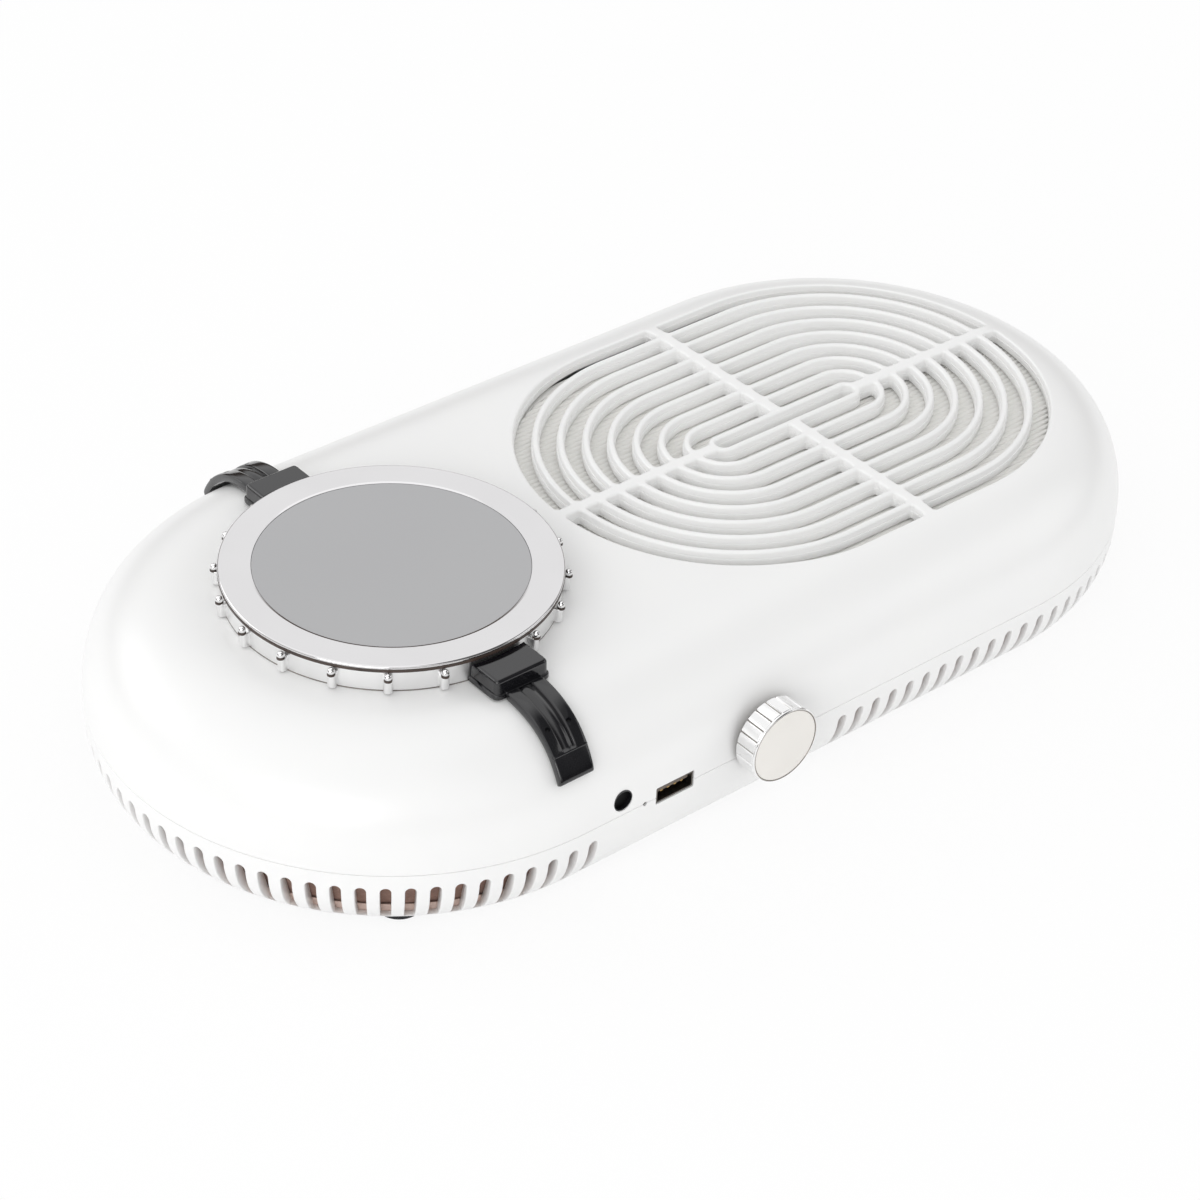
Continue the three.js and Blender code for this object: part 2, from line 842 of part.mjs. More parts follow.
function lowerShell() {
  const posts = [];
  for (const [x, y] of pillarPlaces()) {
    const height = deckBottomZ - fit - baseZ - overrun;
    posts.push(upright(pillarRadius, baseZ + overrun, height, x, y, screwSteps));
  }
  for (const [x, y] of mountScrewPlaces()) {
    const height = wall - overrun + mountBossHeight;
    posts.push(upright(mountBossRadius, baseZ + overrun, height, x, y, screwSteps));
  }
  for (const [x, y] of boardPostPlaces()) {
    const height = boardBottomZ - fit - baseZ - overrun;
    posts.push(upright(boardPostRadius, baseZ + overrun, height, x, y, screwSteps));
  }
  const stops = [];
  for (const side of [-1, 1]) {
    const near = batteryLength / 2 + fit;
    const y0 = side < 0 ? -near - batteryStop : near;
    stops.push(
      block(
        batteryX0 + batteryCorner,
        y0,
        baseZ + overrun,
        batteryX1 - batteryCorner,
        y0 + batteryStop,
        floorZ + batteryStopHeight,
      ),
    );
  }
  stops.push(
    block(
      batteryX1 + fit,
      -batteryLength / 4,
      baseZ + overrun,
      batteryX1 + fit + batteryStop,
      batteryLength / 4,
      floorZ + batteryStopHeight,
    ),
  );
  const holes = [];
  for (const [x, y] of pillarPlaces()) {
    const z = deckTopZ - screwLength - overrun;
    holes.push(upright(screwRadius + fit, z, screwLength + 2 * overrun, x, y, screwSteps));
  }
  for (const [x, y] of mountScrewPlaces()) {
    const top = floorZ + mountBossHeight + fit + mountPlate;
    const z = top - mountScrewLength - fit;
    holes.push(upright(screwRadius + fit, z, mountScrewLength + overrun, x, y, screwSteps));
  }
  for (const [x, y] of boardPostPlaces()) {
    const z = boardTopZ - screwLength - overrun;
    holes.push(upright(screwRadius + fit, z, screwLength + 2 * overrun, x, y, screwSteps));
  }
  for (const [x, y] of Object.values(footPlaces())) {
    const height = wall + 2 * overrun;
    holes.push(upright(footStudRadius + fit, baseZ - overrun, height, x, y, screwSteps));
  }
  const wallY = -bodyHalfWidth - overrun;
  const wallDepth = wall + 2 * overrun;
  holes.push(
    block(
      usbX - usbWidth / 2 - usbHoleSpare,
      wallY,
      usbAxisZ - usbHeight / 2 - usbHoleSpare,
      usbX + usbWidth / 2 + usbHoleSpare,
      wallY + wallDepth,
      seamZ + overrun,
    ),
  );
  holes.push(lying(ledHoleRadius, ledX, wallY, seamZ, wallDepth));
  return join([slottedTray(), ...posts, ...stops]).subtract(join(holes));
}

// A rubber foot: a disc under the base with a stud up its hole
function foot(x, y) {
  return turned(
    [
      [0, 0],
      [footRadius, 0],
      [footRadius, footHeight - fit],
      [footStudRadius, footHeight - fit],
      [footStudRadius, floorZ],
      [0, floorZ],
    ],
    smallSteps,
    x,
    y,
  );
}

// A screw that goes down into its post, with its head's underside at level z
function screwDown(x, y, z, length) {
  return turned(
    [
      [0, z - length],
      [screwRadius, z - length],
      [screwRadius, z],
      [screwHeadRadius, z],
      [screwHeadRadius, z + screwHeadHeight],
      [0, z + screwHeadHeight],
    ],
    screwSteps,
    x,
    y,
  );
}
function screwUp(x, y, z, length) {
  return turned(
    [
      [0, z - screwHeadHeight],
      [screwHeadRadius, z - screwHeadHeight],
      [screwHeadRadius, z],
      [screwRadius, z],
      [screwRadius, z + length],
      [0, z + length],
    ],
    screwSteps,
    x,
    y,
  );
}

// The filter cassette: a frame round a sheet of paper folded into pleats along X
function filterOutline(inset) {
  return roundedRectangle(
    grilleX - filterHalfLength + inset,
    -filterHalfWidth + inset,
    grilleX + filterHalfLength - inset,
    filterHalfWidth - inset,
    filterHalfWidth - filterFlat - inset,
  );
}
function filterFrame() {
  const outside = pulledUp(filterOutline(0), filterBottomZ, filterHeight, cornerSteps);
  const hollow = pulledUp(
    filterOutline(filterWall),
    filterBottomZ + filterLedgeHeight,
    filterHeight,
    cornerSteps,
  );
  const through = pulledUp(
    filterOutline(filterWall + filterLedge),
    filterBottomZ - overrun,
    filterHeight,
    cornerSteps,
  );
  return outside.subtract(hollow).subtract(through);
}
function filterMedia() {
  const low = filterBottomZ + filterLedgeHeight + fit;
  const high = filterTopZ;
  const halfSpan = filterHalfWidth - filterWall - fit;
  const folds = 2 * Math.floor(halfSpan / pleatPitch);
  const upper = [];
  const lower = [];
  for (let i = -folds; i <= folds; i++) {
    const y = (i * pleatPitch) / 2;
    const crest = i % 2 === 0;
    upper.push([y, crest ? high : low + pleatSheet * 2]);
    lower.push([y, crest ? high - pleatSheet * 2 : low]);
  }
  const shape = new THREE.Shape();
  [...upper, ...lower.reverse()].forEach(([y, z], i) => {
    if (i === 0) {
      shape.moveTo(y, z);
    } else {
      shape.lineTo(y, z);
    }
  });
  const sheet = pulledAcross(shape, grilleX, 2 * filterHalfLength);
  const room = pulledUp(
    filterOutline(filterWall + fit),
    low - overrun,
    filterHeight + 2 * overrun,
    cornerSteps,
  );
  return sheet.intersect(room);
}
function filterGasket() {
  const outside = pulledUp(filterOutline(0), gasketBottomZ, gasketHeight, cornerSteps);
  const inside = pulledUp(
    filterOutline(filterWall + filterLedge),
    gasketBottomZ - overrun,
    gasketHeight + 2 * overrun,
    cornerSteps,
  );
  return outside.subtract(inside);
}

// The deck under the filter: a plate with the fan's inlet, a raised lip and room for the
// potentiometer
function fanDeck() {
  const edge = bodyHalfWidth - wall - tongueGap - tongueWall - deckEdgeGap;
  const leftX = grilleX - filterHalfLength - fit - deckThickness;
  const full = carried(
    [
      [edge, deckBottomZ],
      [edge, deckTopZ],
    ],
    bodyEndX,
    bodyArcSteps,
  );
  const rightHalf = block(
    leftX,
    -edge,
    deckBottomZ - overrun,
    bodyEndX + edge + overrun,
    edge,
    deckTopZ + overrun,
  );
  const lip = block(
    leftX,
    -filterHalfWidth,
    deckBottomZ,
    leftX + deckThickness,
    filterHalfWidth,
    deckTopZ + deckLip,
  );
  const inletRing = turned(
    ringSection(inletRadius, inletRadius + inletLip, deckBottomZ, deckTopZ + inletLipHeight),
    discSteps,
    grilleX,
  );
  const inlet = upright(
    inletRadius,
    deckBottomZ - overrun,
    deckThickness + inletLipHeight + 2 * overrun,
    grilleX,
    0,
    discSteps,
  );
  const potGate = block(
    knobX - potWidth / 2 - potRoom,
    -edge - overrun,
    deckBottomZ - overrun,
    knobX + potWidth / 2 + potRoom,
    panelInnerY + panelSetback + potDepth + potRoom,
    deckTopZ + overrun,
  );
  const holes = pillarPlaces().map(([x, y]) =>
    upright(screwRadius + fit, deckBottomZ - overrun, deckThickness + 2 * overrun, x, y, screwSteps),
  );
  return full
    .intersect(rightHalf)
    .add(lip)
    .add(inletRing)
    .subtract(join([inlet, potGate, ...holes]));
}

// Motor and fan, all on one upright axis under the middle of the grille
const mountBottomZ = floorZ + mountBossHeight + fit;
const mountTopZ = mountBottomZ + mountPlate;
const statorZ = mountTopZ + mountShoulder + fit;
const rotorInner = statorRadius + fit + shaftClearance;
const rotorRadius = rotorInner + rotorWall;
const rotorTopZ = statorZ + statorHeight + runningGap + rotorCap;
const fanBottomZ = mountTopZ + fit + screwHeadHeight + runningGap / 2;
const fanHubInner = rotorRadius + fit;
const fanHubTopZ = rotorTopZ + fit + fanPlate;
const fanTopZ = deckBottomZ - runningGap;
const bearingBore = shaftRadius + shaftClearance;
const bearingRadius = mountTubeRadius - mountTubeWall - shaftClearance;
const lowBearingZ = mountTopZ + fit;
const tubeTopZ = statorZ + statorHeight;
const highBearingZ = tubeTopZ - bearingHeight;

function motorMount() {
  const body = turned(
    [
      [shaftRadius + fit, mountBottomZ],
      [mountPlateRadius, mountBottomZ],
      [mountPlateRadius, mountTopZ],
      [mountShoulderRadius, mountTopZ],
      [mountShoulderRadius, mountTopZ + mountShoulder],
      [mountTubeRadius, mountTopZ + mountShoulder],
      [mountTubeRadius, tubeTopZ],
      [mountTubeRadius - mountTubeWall, tubeTopZ],
      [mountTubeRadius - mountTubeWall, mountTopZ],
      [shaftRadius + fit, mountTopZ],
      [shaftRadius + fit, mountBottomZ],
    ],
    midSteps,
    grilleX,
  );
  const holes = mountScrewPlaces().map(([x, y]) =>
    upright(screwRadius + fit, mountBottomZ - overrun, mountPlate + 2 * overrun, x, y, screwSteps),
  );
  return body.subtract(join(holes));
}
function bearing(z) {
  return turned(
    ringSection(bearingBore, bearingRadius, z, z + bearingHeight),
    smallSteps,
    grilleX,
  );
}
function motorStator() {
  const inner = mountTubeRadius + fit;
  const root = (statorRadius + inner) / 2;
  const shape = new THREE.Shape();
  const half = Math.PI / statorTeeth;
  for (let i = 0; i < statorTeeth; i++) {
    const middle = i * 2 * half;
    const corners = [
      [root, -half * toothGap_share],
      [root, -half * toothNeck_share],
      [statorRadius, -half * toothFace_share],
      [statorRadius, 0],
      [statorRadius, half * toothFace_share],
      [root, half * toothNeck_share],
      [root, half * toothGap_share],
    ];
    corners.forEach(([r, turn], k) => {
      const x = grilleX + r * Math.cos(middle + turn);
      const y = r * Math.sin(middle + turn);
      if (i === 0 && k === 0) {
        shape.moveTo(x, y);
      } else {
        shape.lineTo(x, y);
      }
    });
  }
  const bore = upright(inner, statorZ - overrun, statorHeight + 2 * overrun, grilleX, 0, midSteps);
  return pulledUp(shape, statorZ, statorHeight).subtract(bore);
}
function motorRotor() {
  return turned(
    [
      [shaftRadius + shaftClearance, rotorTopZ - rotorCap],
      [rotorInner, rotorTopZ - rotorCap],
      [rotorInner, statorZ],
      [rotorRadius, statorZ],
      [rotorRadius, rotorTopZ],
      [shaftRadius + shaftClearance, rotorTopZ],
      [shaftRadius + shaftClearance, rotorTopZ - rotorCap],
    ],
    midSteps,
    grilleX,
  );
}
function motorShaft() {
  return upright(shaftRadius, mountTopZ, fanHubTopZ - mountTopZ, grilleX, 0, smallSteps);
}

// One curved blade in plan, leaning back from the way the fan turns
function bladeShape(turn) {
  const steps = bladeSteps;
  const edge = (side) => {
    const points = [];
    for (let i = 0; i <= steps; i++) {
      const share = i / steps;
      const r = fanBladeInner + (fanRadius - fanBladeInner) * share;
      const angle = turn - fanBladeSweepTurn * share + (side * fanBladeThickness) / 2 / r;
      points.push([grilleX + r * Math.cos(angle), r * Math.sin(angle)]);
    }
    return points;
  };
  const shape = new THREE.Shape();
  [...edge(-1), ...edge(1).reverse()].forEach(([x, y], i) => {
    if (i === 0) {
      shape.moveTo(x, y);
    } else {
      shape.lineTo(x, y);
    }
  });
  return shape;
}
function impeller() {
  const hub = turned(
    [
      [shaftRadius + shaftClearance, rotorTopZ + fit],
      [fanHubInner, rotorTopZ + fit],
      [fanHubInner, fanBottomZ],
      [fanRadius, fanBottomZ],
      [fanRadius, fanBottomZ + fanPlate],
      [fanHubInner + fanHubWall, fanBottomZ + fanPlate],
      [fanHubInner + fanHubWall, fanHubTopZ],
      [shaftRadius + shaftClearance, fanHubTopZ],
      [shaftRadius + shaftClearance, rotorTopZ + fit],
    ],
    midSteps,
    grilleX,
  );
  const blades = [];
  const bladeZ = fanBottomZ + fanPlate / 2;
  for (let i = 0; i < fanBladeCount; i++) {
    const turn = (i / fanBladeCount) * 2 * Math.PI;
    blades.push(pulledUp(bladeShape(turn), bladeZ, fanTopZ - bladeZ));
  }
  const rim = upright(fanRadius, bladeZ - overrun, fanTopZ, grilleX, 0, midSteps);
  return hub.add(join(blades).intersect(rim));
}

// Display module: a ribbed case, a flat bezel, a window and a board behind it
function caseRing() {
  const boardRoom = windowRadius - windowLedge;
  const windowSeatZ = bezelTopZ - windowSink - windowThickness - fit;
  const body = turned(
    [
      [caseWireRadius, caseBottomZ],
      [caseRadius, caseBottomZ],
      [caseRadius, caseTopZ],
      [windowRadius + fit, caseTopZ],
      [windowRadius + fit, windowSeatZ],
      [boardRoom, windowSeatZ],
      [boardRoom, caseBottomZ + caseFloor],
      [caseWireRadius, caseBottomZ + caseFloor],
      [caseWireRadius, caseBottomZ],
    ],
    discSteps,
    displayX,
  );
  const ribs = [];
  for (let i = 0; i < caseRibCount; i++) {
    const share = i / caseRibCount;
    if (share === 1 / 4 || share === 3 / 4) {
      continue;
    }
    const rib = block(
      caseRadius - overrun,
      -caseRibWidth / 2,
      caseBottomZ,
      caseRadius + caseRibProud,
      caseRibWidth / 2,
      caseBottomZ + caseRibHeight,
    );
    const stud = upright(
      studRadius,
      caseBottomZ + caseRibHeight - studRadius,
      studRadius + studHeight,
      caseRadius + caseRibProud - studRadius,
      0,
      studSteps,
    );
    const turn = share * 360;
    ribs.push(rib.add(stud).rotate([0, 0, turn]).translate([displayX, 0, 0]));
  }
  const holes = caseScrewPlaces().map(([x, y]) =>
    upright(screwRadius + fit, caseBottomZ - overrun, caseFloor + 2 * overrun, x, y, screwSteps),
  );
  return join([body, ...ribs]).subtract(join(holes));
}
function bezelRing() {
  const low = caseTopZ + fit;
  const slope = bezelHeight / 3;
  return turned(
    [
      [windowRadius + fit, low],
      [bezelRadius - slope, low],
      [bezelRadius, low + slope],
      [bezelRadius, bezelTopZ - slope],
      [bezelRadius - slope, bezelTopZ],
      [windowRadius + fit, bezelTopZ],
      [windowRadius + fit, low],
    ],
    discSteps,
    displayX,
  );
}
function displayWindow() {
  const high = bezelTopZ - windowSink;
  return upright(windowRadius, high - windowThickness, windowThickness, displayX, 0, discSteps);
}
function displayBoard() {
  const z = caseBottomZ + caseFloor + fit;
  const radius = windowRadius - windowLedge - fit;
  return upright(radius, z, displayBoardThickness, displayX, 0, midSteps);
}

// A lug on one side of the display: side is -1 in front and 1 behind
function lug(side) {
  const near = bezelRadius + fit;
  const low = topZ + fit;
  const high = low + lugHeight;
  const x0 = displayX - lugWidth / 2;
  const x1 = displayX + lugWidth / 2;
  const start = near - lugWidth / 2;
  const far = lugReach;
  const plan = roundedRectangle(x0, start, x1, far, lugCorner);
  const lowPlan = roundedRectangle(
    x0 + lugLipStep,
    start,
    x1 - lugLipStep,
    far - lugLipStep,
    lugCorner,
  );
  const body = pulledUp(plan, low, lugHeight - lugLipStep, 2);
  const cap = pulledUp(lowPlan, low, lugHeight, 2);
  const round = upright(near, low - overrun, lugHeight + 2 * overrun, displayX, 0, discSteps);
  const groove = turned(
    ringSection(near + lugLip, near + lugLip + lugLipStep, high - lugLipStep, high + overrun),
    discSteps,
    displayX,
  );
  const pocket = block(
    displayX - strapWidth / 2 - fit,
    far - strapTongue - fit,
    low - overrun,
    displayX + strapWidth / 2 + fit,
    far + overrun,
    low + strapTongueHeight + fit,
  );
  const hole = upright(
    screwRadius + fit,
    low - overrun,
    lugHeight + overrun - lugLipStep * 2,
    displayX,
    lugScrewY,
    screwSteps,
  );
  const made = body.add(cap).subtract(join([round, groove, pocket, hole]));
  return side < 0 ? made.mirror([0, 1, 0]) : made;
}

// A strap over the shoulder: its underside follows the shell, a channel runs down its middle, and
// a riser joins it to the tongue that goes under the lug
function strapCurve(lift, from, to) {
  const steps = strapSteps;
  const points = [];
  for (let i = 0; i <= steps; i++) {
    const y = from + (to - from) * (i / steps);
    const small = seamGap / strapSteps;
    const rise = (shoulderZ(y + small) - shoulderZ(y - small)) / (2 * small);
    const length = Math.hypot(1, rise);
    points.push([y - (lift * rise) / length, shoulderZ(y) + lift / length]);
  }
  return points;
}
function strapSection(low, high, from, to) {
  const shape = new THREE.Shape();
  const outline = [...strapCurve(low, from, to), ...strapCurve(high, from, to).reverse()];
  outline.forEach(([y, z], i) => {
    if (i === 0) {
      shape.moveTo(y, z);
    } else {
      shape.lineTo(y, z);
    }
  });
  return shape;
}
function strap(side) {
  const from = lugReach + fit;
  const top = fit + strapThickness;
  const arm = pulledAcross(strapSection(fit, top, from, strapReach), displayX, strapWidth);
  const channel = pulledAcross(
    strapSection(top - strapChannelDepth, top + overrun, from - overrun, strapReach - strapEndLand),
    displayX,
    strapChannel,
  );
  const low = topZ + fit;
  const tongue = block(
    displayX - strapWidth / 2,
    lugReach - strapTongue,
    low,
    displayX + strapWidth / 2,
    from + overrun,
    low + strapTongueHeight,
  );
  const riser = block(
    displayX - strapWidth / 2,
    from,
    shoulderZ(from) + fit,
    displayX + strapWidth / 2,
    from + overrun,
    low + strapTongueHeight,
  );
  const relief = upright(
    screwRadius + 2 * fit,
    low - overrun,
    strapTongueHeight + 2 * overrun,
    displayX,
    lugScrewY,
    screwSteps,
  );
  const made = join([arm, tongue, riser]).subtract(channel).subtract(relief);
  return side < 0 ? made.mirror([0, 1, 0]) : made;
}

// Front panel pieces, on the main board just inside the wall
const panelFaceY = panelInnerY + fit;
const tallFaceY = panelInnerY + panelSetback;
const usbMouthY = -bodyHalfWidth + usbMouthSetback;
function dcJack() {
  const noseY = panelFaceY;
  const body = block(
    dcX - dcBodyWidth / 2,
    tallFaceY,
    boardTopZ + fit,
    dcX + dcBodyWidth / 2,
    tallFaceY + dcBodyDepth,
    boardTopZ + fit + dcBodyHeight,
  );
  const noseLength = tallFaceY - noseY;
  const nose = lying(dcHoleRadius - fit, dcX, noseY, dcAxisZ, noseLength + overrun, midSteps);
  const bore = lying(
    dcBoreRadius,
    dcX,
    noseY - overrun,
    dcAxisZ,
    noseLength + dcBoreDepth + overrun,
    midSteps,
  );
  const pinY = noseY + dcPinSetback;
  const pinLength = noseLength + dcBoreDepth - dcPinSetback + overrun;
  const pin = lying(dcPinRadius, dcX, pinY, dcAxisZ, pinLength, screwSteps);
  return body.add(nose).subtract(bore).add(pin);
}
function usbShell() {
  const half = usbWidth / 2;
  const tall = usbHeight / 2;
  const outside = block(
    usbX - half,
    usbMouthY,
    usbAxisZ - tall,
    usbX + half,
    usbMouthY + usbDepth,
    usbAxisZ + tall,
  );
  const inside = block(
    usbX - half + usbSheet,
    usbMouthY - overrun,
    usbAxisZ - tall + usbSheet,
    usbX + half - usbSheet,
    usbMouthY + usbDepth - usbSheet,
    usbAxisZ + tall - usbSheet,
  );
  return outside.subtract(inside);
}
function usbTongue() {
  const half = usbWidth / 2 - usbSheet - fit;
  const back = usbMouthY + usbDepth - usbSheet - fit;
  const tall = usbHeight / 2 - usbSheet - fit;
  const blade = block(
    usbX - half,
    usbMouthY + usbTongueSetback,
    usbAxisZ,
    usbX + half,
    back,
    usbAxisZ + usbTongueThickness,
  );
  const root = block(
    usbX - half,
    usbMouthY + (usbDepth * 2) / 3,
    usbAxisZ - tall,
    usbX + half,
    back,
    usbAxisZ + tall,
  );
  return blade.add(root);
}
function statusLed() {
  return lying(ledRadius, ledX, panelFaceY, seamZ, ledLength, screwSteps);
}
function speedPot() {
  const body = block(
    knobX - potWidth / 2,
    tallFaceY,
    boardTopZ + fit,
    knobX + potWidth / 2,
    tallFaceY + potDepth,
    boardTopZ + potHeight,
  );
  const bushLength = tallFaceY + bodyHalfWidth;
  const bush = lying(
    potBushRadius,
    knobX,
    -bodyHalfWidth,
    knobAxisZ,
    bushLength + overrun,
    midSteps,
  );
  const bore = lying(
    knobShaftRadius + shaftClearance,
    knobX,
    -bodyHalfWidth - overrun,
    knobAxisZ,
    bushLength + potDepth / 2 + overrun,
    midSteps,
  );
  return body.add(bush).subtract(bore);
}
function potShaft() {
  const inY = tallFaceY + potDepth / 2 - fit;
  const outY = knobBackY - knobShaftDepth + fit;
  return lying(knobShaftRadius, knobX, outY, knobAxisZ, inY - outY, midSteps);
}

// The knob's fluted outline, and the knob: a fluted grip behind a plain round face
function knobOutline(radius) {
  const shape = new THREE.Shape();
  const turn = (2 * Math.PI) / knobFluteCount;
  for (let i = 0; i < knobFluteCount; i++) {
    const corners = [
      [radius, -knobFluteFlat_share],
      [radius, knobFluteFlat_share],
      [radius - knobFluteDepth, 1 / 2 - knobFluteFloor_share],
      [radius - knobFluteDepth, 1 / 2 + knobFluteFloor_share],
    ];
    corners.forEach(([r, share], k) => {
      const angle = (i + share) * turn;
      const x = knobX + r * Math.cos(angle);
      const z = knobAxisZ + r * Math.sin(angle);
      if (i === 0 && k === 0) {
        shape.moveTo(x, z);
      } else {
        shape.lineTo(x, z);
      }
    });
  }
  return shape;
}
function speedKnob() {
  const grip = pulledForward(knobOutline(knobRadius), knobBackY, knobDepth - knobFaceStep);
  const face = lying(
    knobRadius,
    knobX,
    knobFaceY,
    knobAxisZ,
    knobFaceStep + knobFluteDepth,
    discSteps,
  );
  const bore = lying(
    knobShaftRadius + shaftClearance,
    knobX,
    knobBackY - knobShaftDepth,
    knobAxisZ,
    knobShaftDepth + overrun,
    midSteps,
  );
  return grip.add(face).subtract(bore);
}

// The board that carries the front panel's pieces, with a notch the port sinks into
function mainBoard() {
  const board = block(boardX0, boardY0, boardBottomZ, boardX1, boardY1, boardTopZ);
  const notch = block(
    usbX - usbWidth / 2 - fit,
    boardY0 - overrun,
    boardBottomZ - overrun,
    usbX + usbWidth / 2 + fit,
    usbMouthY + usbDepth + fit,
    boardTopZ + overrun,
  );
  const holes = boardPostPlaces().map(([x, y]) =>
    upright(
      screwRadius + fit,
      boardBottomZ - overrun,
      boardThickness + 2 * overrun,
      x,
      y,
      screwSteps,
    ),
  );
  return board.subtract(join([notch, ...holes]));
}

// Battery pack on its pad, between stops on the base
function batteryOutline(inset) {
  return roundedRectangle(
    batteryX0 + inset,
    -batteryLength / 2 + inset,
    batteryX1 - inset,
    batteryLength / 2 - inset,
    batteryCorner,
  );
}
const batteryPadZ = floorZ + fit;
function batteryPad() {
  return pulledUp(batteryOutline(batteryPadMargin), batteryPadZ, batteryPadThickness, packCornerSteps);
}
function batteryPack() {
  const z = batteryPadZ + batteryPadThickness + fit;
  return pulledUp(batteryOutline(0), z, batteryHeight, packCornerSteps);
}

// The brown strip behind the slots, which follows the inside of the band
function exhaustStrip() {
  const lowZ = floorZ + stripGap;
  const highZ = seamZ - slotDrop;
  const lowR = bandRadius(lowZ) - wall - stripGap;
  const highR = bodyHalfWidth - wall - stripGap;
  const outer = [
    [lowR, lowZ],
    [highR, highZ],
  ];
  const inner = outer.map(([r, z]) => [r - stripThickness, z]).reverse();
  const section = [...outer, ...inner, outer[0]];
  return carried(section, bodyEndX, bodyArcSteps);
}

// Everything together, in the frame whose origin is under the middle of the footprint
const root = new THREE.Group();
root.position.y = frameShiftY;
function place(name, made, material) {
  root.add(mesh(name, made, material));
}

place("upper_shell", upperShell(), whiteGloss);
place("lower_shell", lowerShell(), whiteGloss);
for (const [corner, [x, y]] of Object.entries(footPlaces())) {
  place("foot_" + corner, foot(x, y), rubber);
}
place("exhaust_strip", exhaustStrip(), feltBrown);

place("case_ring", caseRing(), chrome);
place("bezel_ring", bezelRing(), chrome);
place("display_window", displayWindow(), greyWindow);
place("display_board", displayBoard(), boardGreen);
for (const [side, name] of [
  [-1, "front"],
  [1, "rear"],
]) {
  place(name + "_lug", lug(side), blackGloss);
  place(name + "_strap", strap(side), blackGloss);
  const z = shoulderZ(lugScrewY + screwHeadRadius, wall) - 2 * fit;
  const length = topZ + fit + lugScrewBite - z;
  place(name + "_lug_screw", screwUp(displayX, side * lugScrewY, z, length), steel);
}
caseScrewPlaces().forEach(([x, y], i) => {
  const length = wall + 2 * fit + caseFloor;
  place("case_screw_" + (i + 1), screwUp(x, y, topZ - wall - fit, length), steel);
});

place("filter_frame", filterFrame(), whiteMatte);
place("filter_media", filterMedia(), filterPaper);
place("filter_gasket", filterGasket(), foam);
place("fan_deck", fanDeck(), whiteMatte);
pillarPlaces().forEach(([x, y], i) => {
  place("deck_screw_" + (i + 1), screwDown(x, y, deckTopZ + fit, screwLength), steel);
});

place("motor_mount", motorMount(), darkSteel);
mountScrewPlaces().forEach(([x, y], i) => {
  place("mount_screw_" + (i + 1), screwDown(x, y, mountTopZ + fit, mountScrewLength), steel);
});
place("motor_stator", motorStator(), copper);
place("bearing_low", bearing(lowBearingZ), steel);
place("bearing_high", bearing(highBearingZ), steel);
place("motor_shaft", motorShaft(), steel);
place("motor_rotor", motorRotor(), darkSteel);
place("impeller", impeller(), blackMatte);

place("main_board", mainBoard(), boardGreen);
boardPostPlaces().forEach(([x, y], i) => {
  place("board_screw_" + (i + 1), screwDown(x, y, boardTopZ + fit, screwLength), steel);
});
place("dc_jack", dcJack(), blackMatte);
place("usb_shell", usbShell(), steel);
place("usb_tongue", usbTongue(), whiteMatte);
place("status_led", statusLed(), ledLens);
place("speed_pot", speedPot(), darkSteel);
place("pot_shaft", potShaft(), steel);
place("speed_knob", speedKnob(), whiteMatte);
place("battery_pad", batteryPad(), foam);
place("battery_pack", batteryPack(), batteryWrap);

export default root;
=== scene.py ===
"""Dresses the nail dust collector: a glossy white body with a ribbed suction grille over a pleated
filter, a bright ring round a grey window, black lugs and straps, ports and a fluted knob.

Lengths are millimetres, and turn into metres where an object is made. X runs along the body with
the display at -X, the front panel faces -Y, and +Z is up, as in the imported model."""

import json
from math import acos, asin, cos, dist, hypot, pi, radians, sin, sqrt

import bmesh
import bpy
from mathutils import Matrix, Vector


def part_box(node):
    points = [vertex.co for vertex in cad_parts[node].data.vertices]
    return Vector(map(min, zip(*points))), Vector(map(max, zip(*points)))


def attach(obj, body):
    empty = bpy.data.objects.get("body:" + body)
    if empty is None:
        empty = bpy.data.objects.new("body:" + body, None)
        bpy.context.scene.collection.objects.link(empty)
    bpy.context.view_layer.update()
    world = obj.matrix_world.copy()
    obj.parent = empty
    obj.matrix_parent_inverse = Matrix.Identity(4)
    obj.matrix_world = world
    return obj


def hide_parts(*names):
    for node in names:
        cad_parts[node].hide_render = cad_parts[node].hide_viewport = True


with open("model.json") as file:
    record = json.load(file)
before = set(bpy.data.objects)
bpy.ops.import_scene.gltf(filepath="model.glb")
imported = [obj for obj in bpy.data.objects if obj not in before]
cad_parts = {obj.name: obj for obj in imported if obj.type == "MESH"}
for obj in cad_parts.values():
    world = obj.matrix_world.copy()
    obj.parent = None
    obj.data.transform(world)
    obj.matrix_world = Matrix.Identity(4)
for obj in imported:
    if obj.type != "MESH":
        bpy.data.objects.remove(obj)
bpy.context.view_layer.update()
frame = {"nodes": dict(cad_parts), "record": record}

METRE = 0.001

# Points this close are joined, and a corner's round takes up at most this share of a side
WELD = 0.002
CORNER_SHARE = 0.45

# Body, as in the part's source
HALF_WIDTH = 90.0
END_X = 90.0
SEAM_Z = 25.0
BASE_Z = 2.0
SHOULDER_HEIGHT = 32.5
SHOULDER_WIDTH = 33.7
SHOULDER_POWER = 2.3
WALL = 2.5
FLAT_RADIUS = HALF_WIDTH - SHOULDER_WIDTH
TOP_Z = SEAM_Z + SHOULDER_HEIGHT
SEAM_HALF_GAP = 0.06
EDGE_ROUND = 0.4
EDGE_START = 0.72
RIM_START = 0.68
COVER_FOOT = 0.6
INNER_EDGE = 0.2
FRONT_SHIFT = 4.6

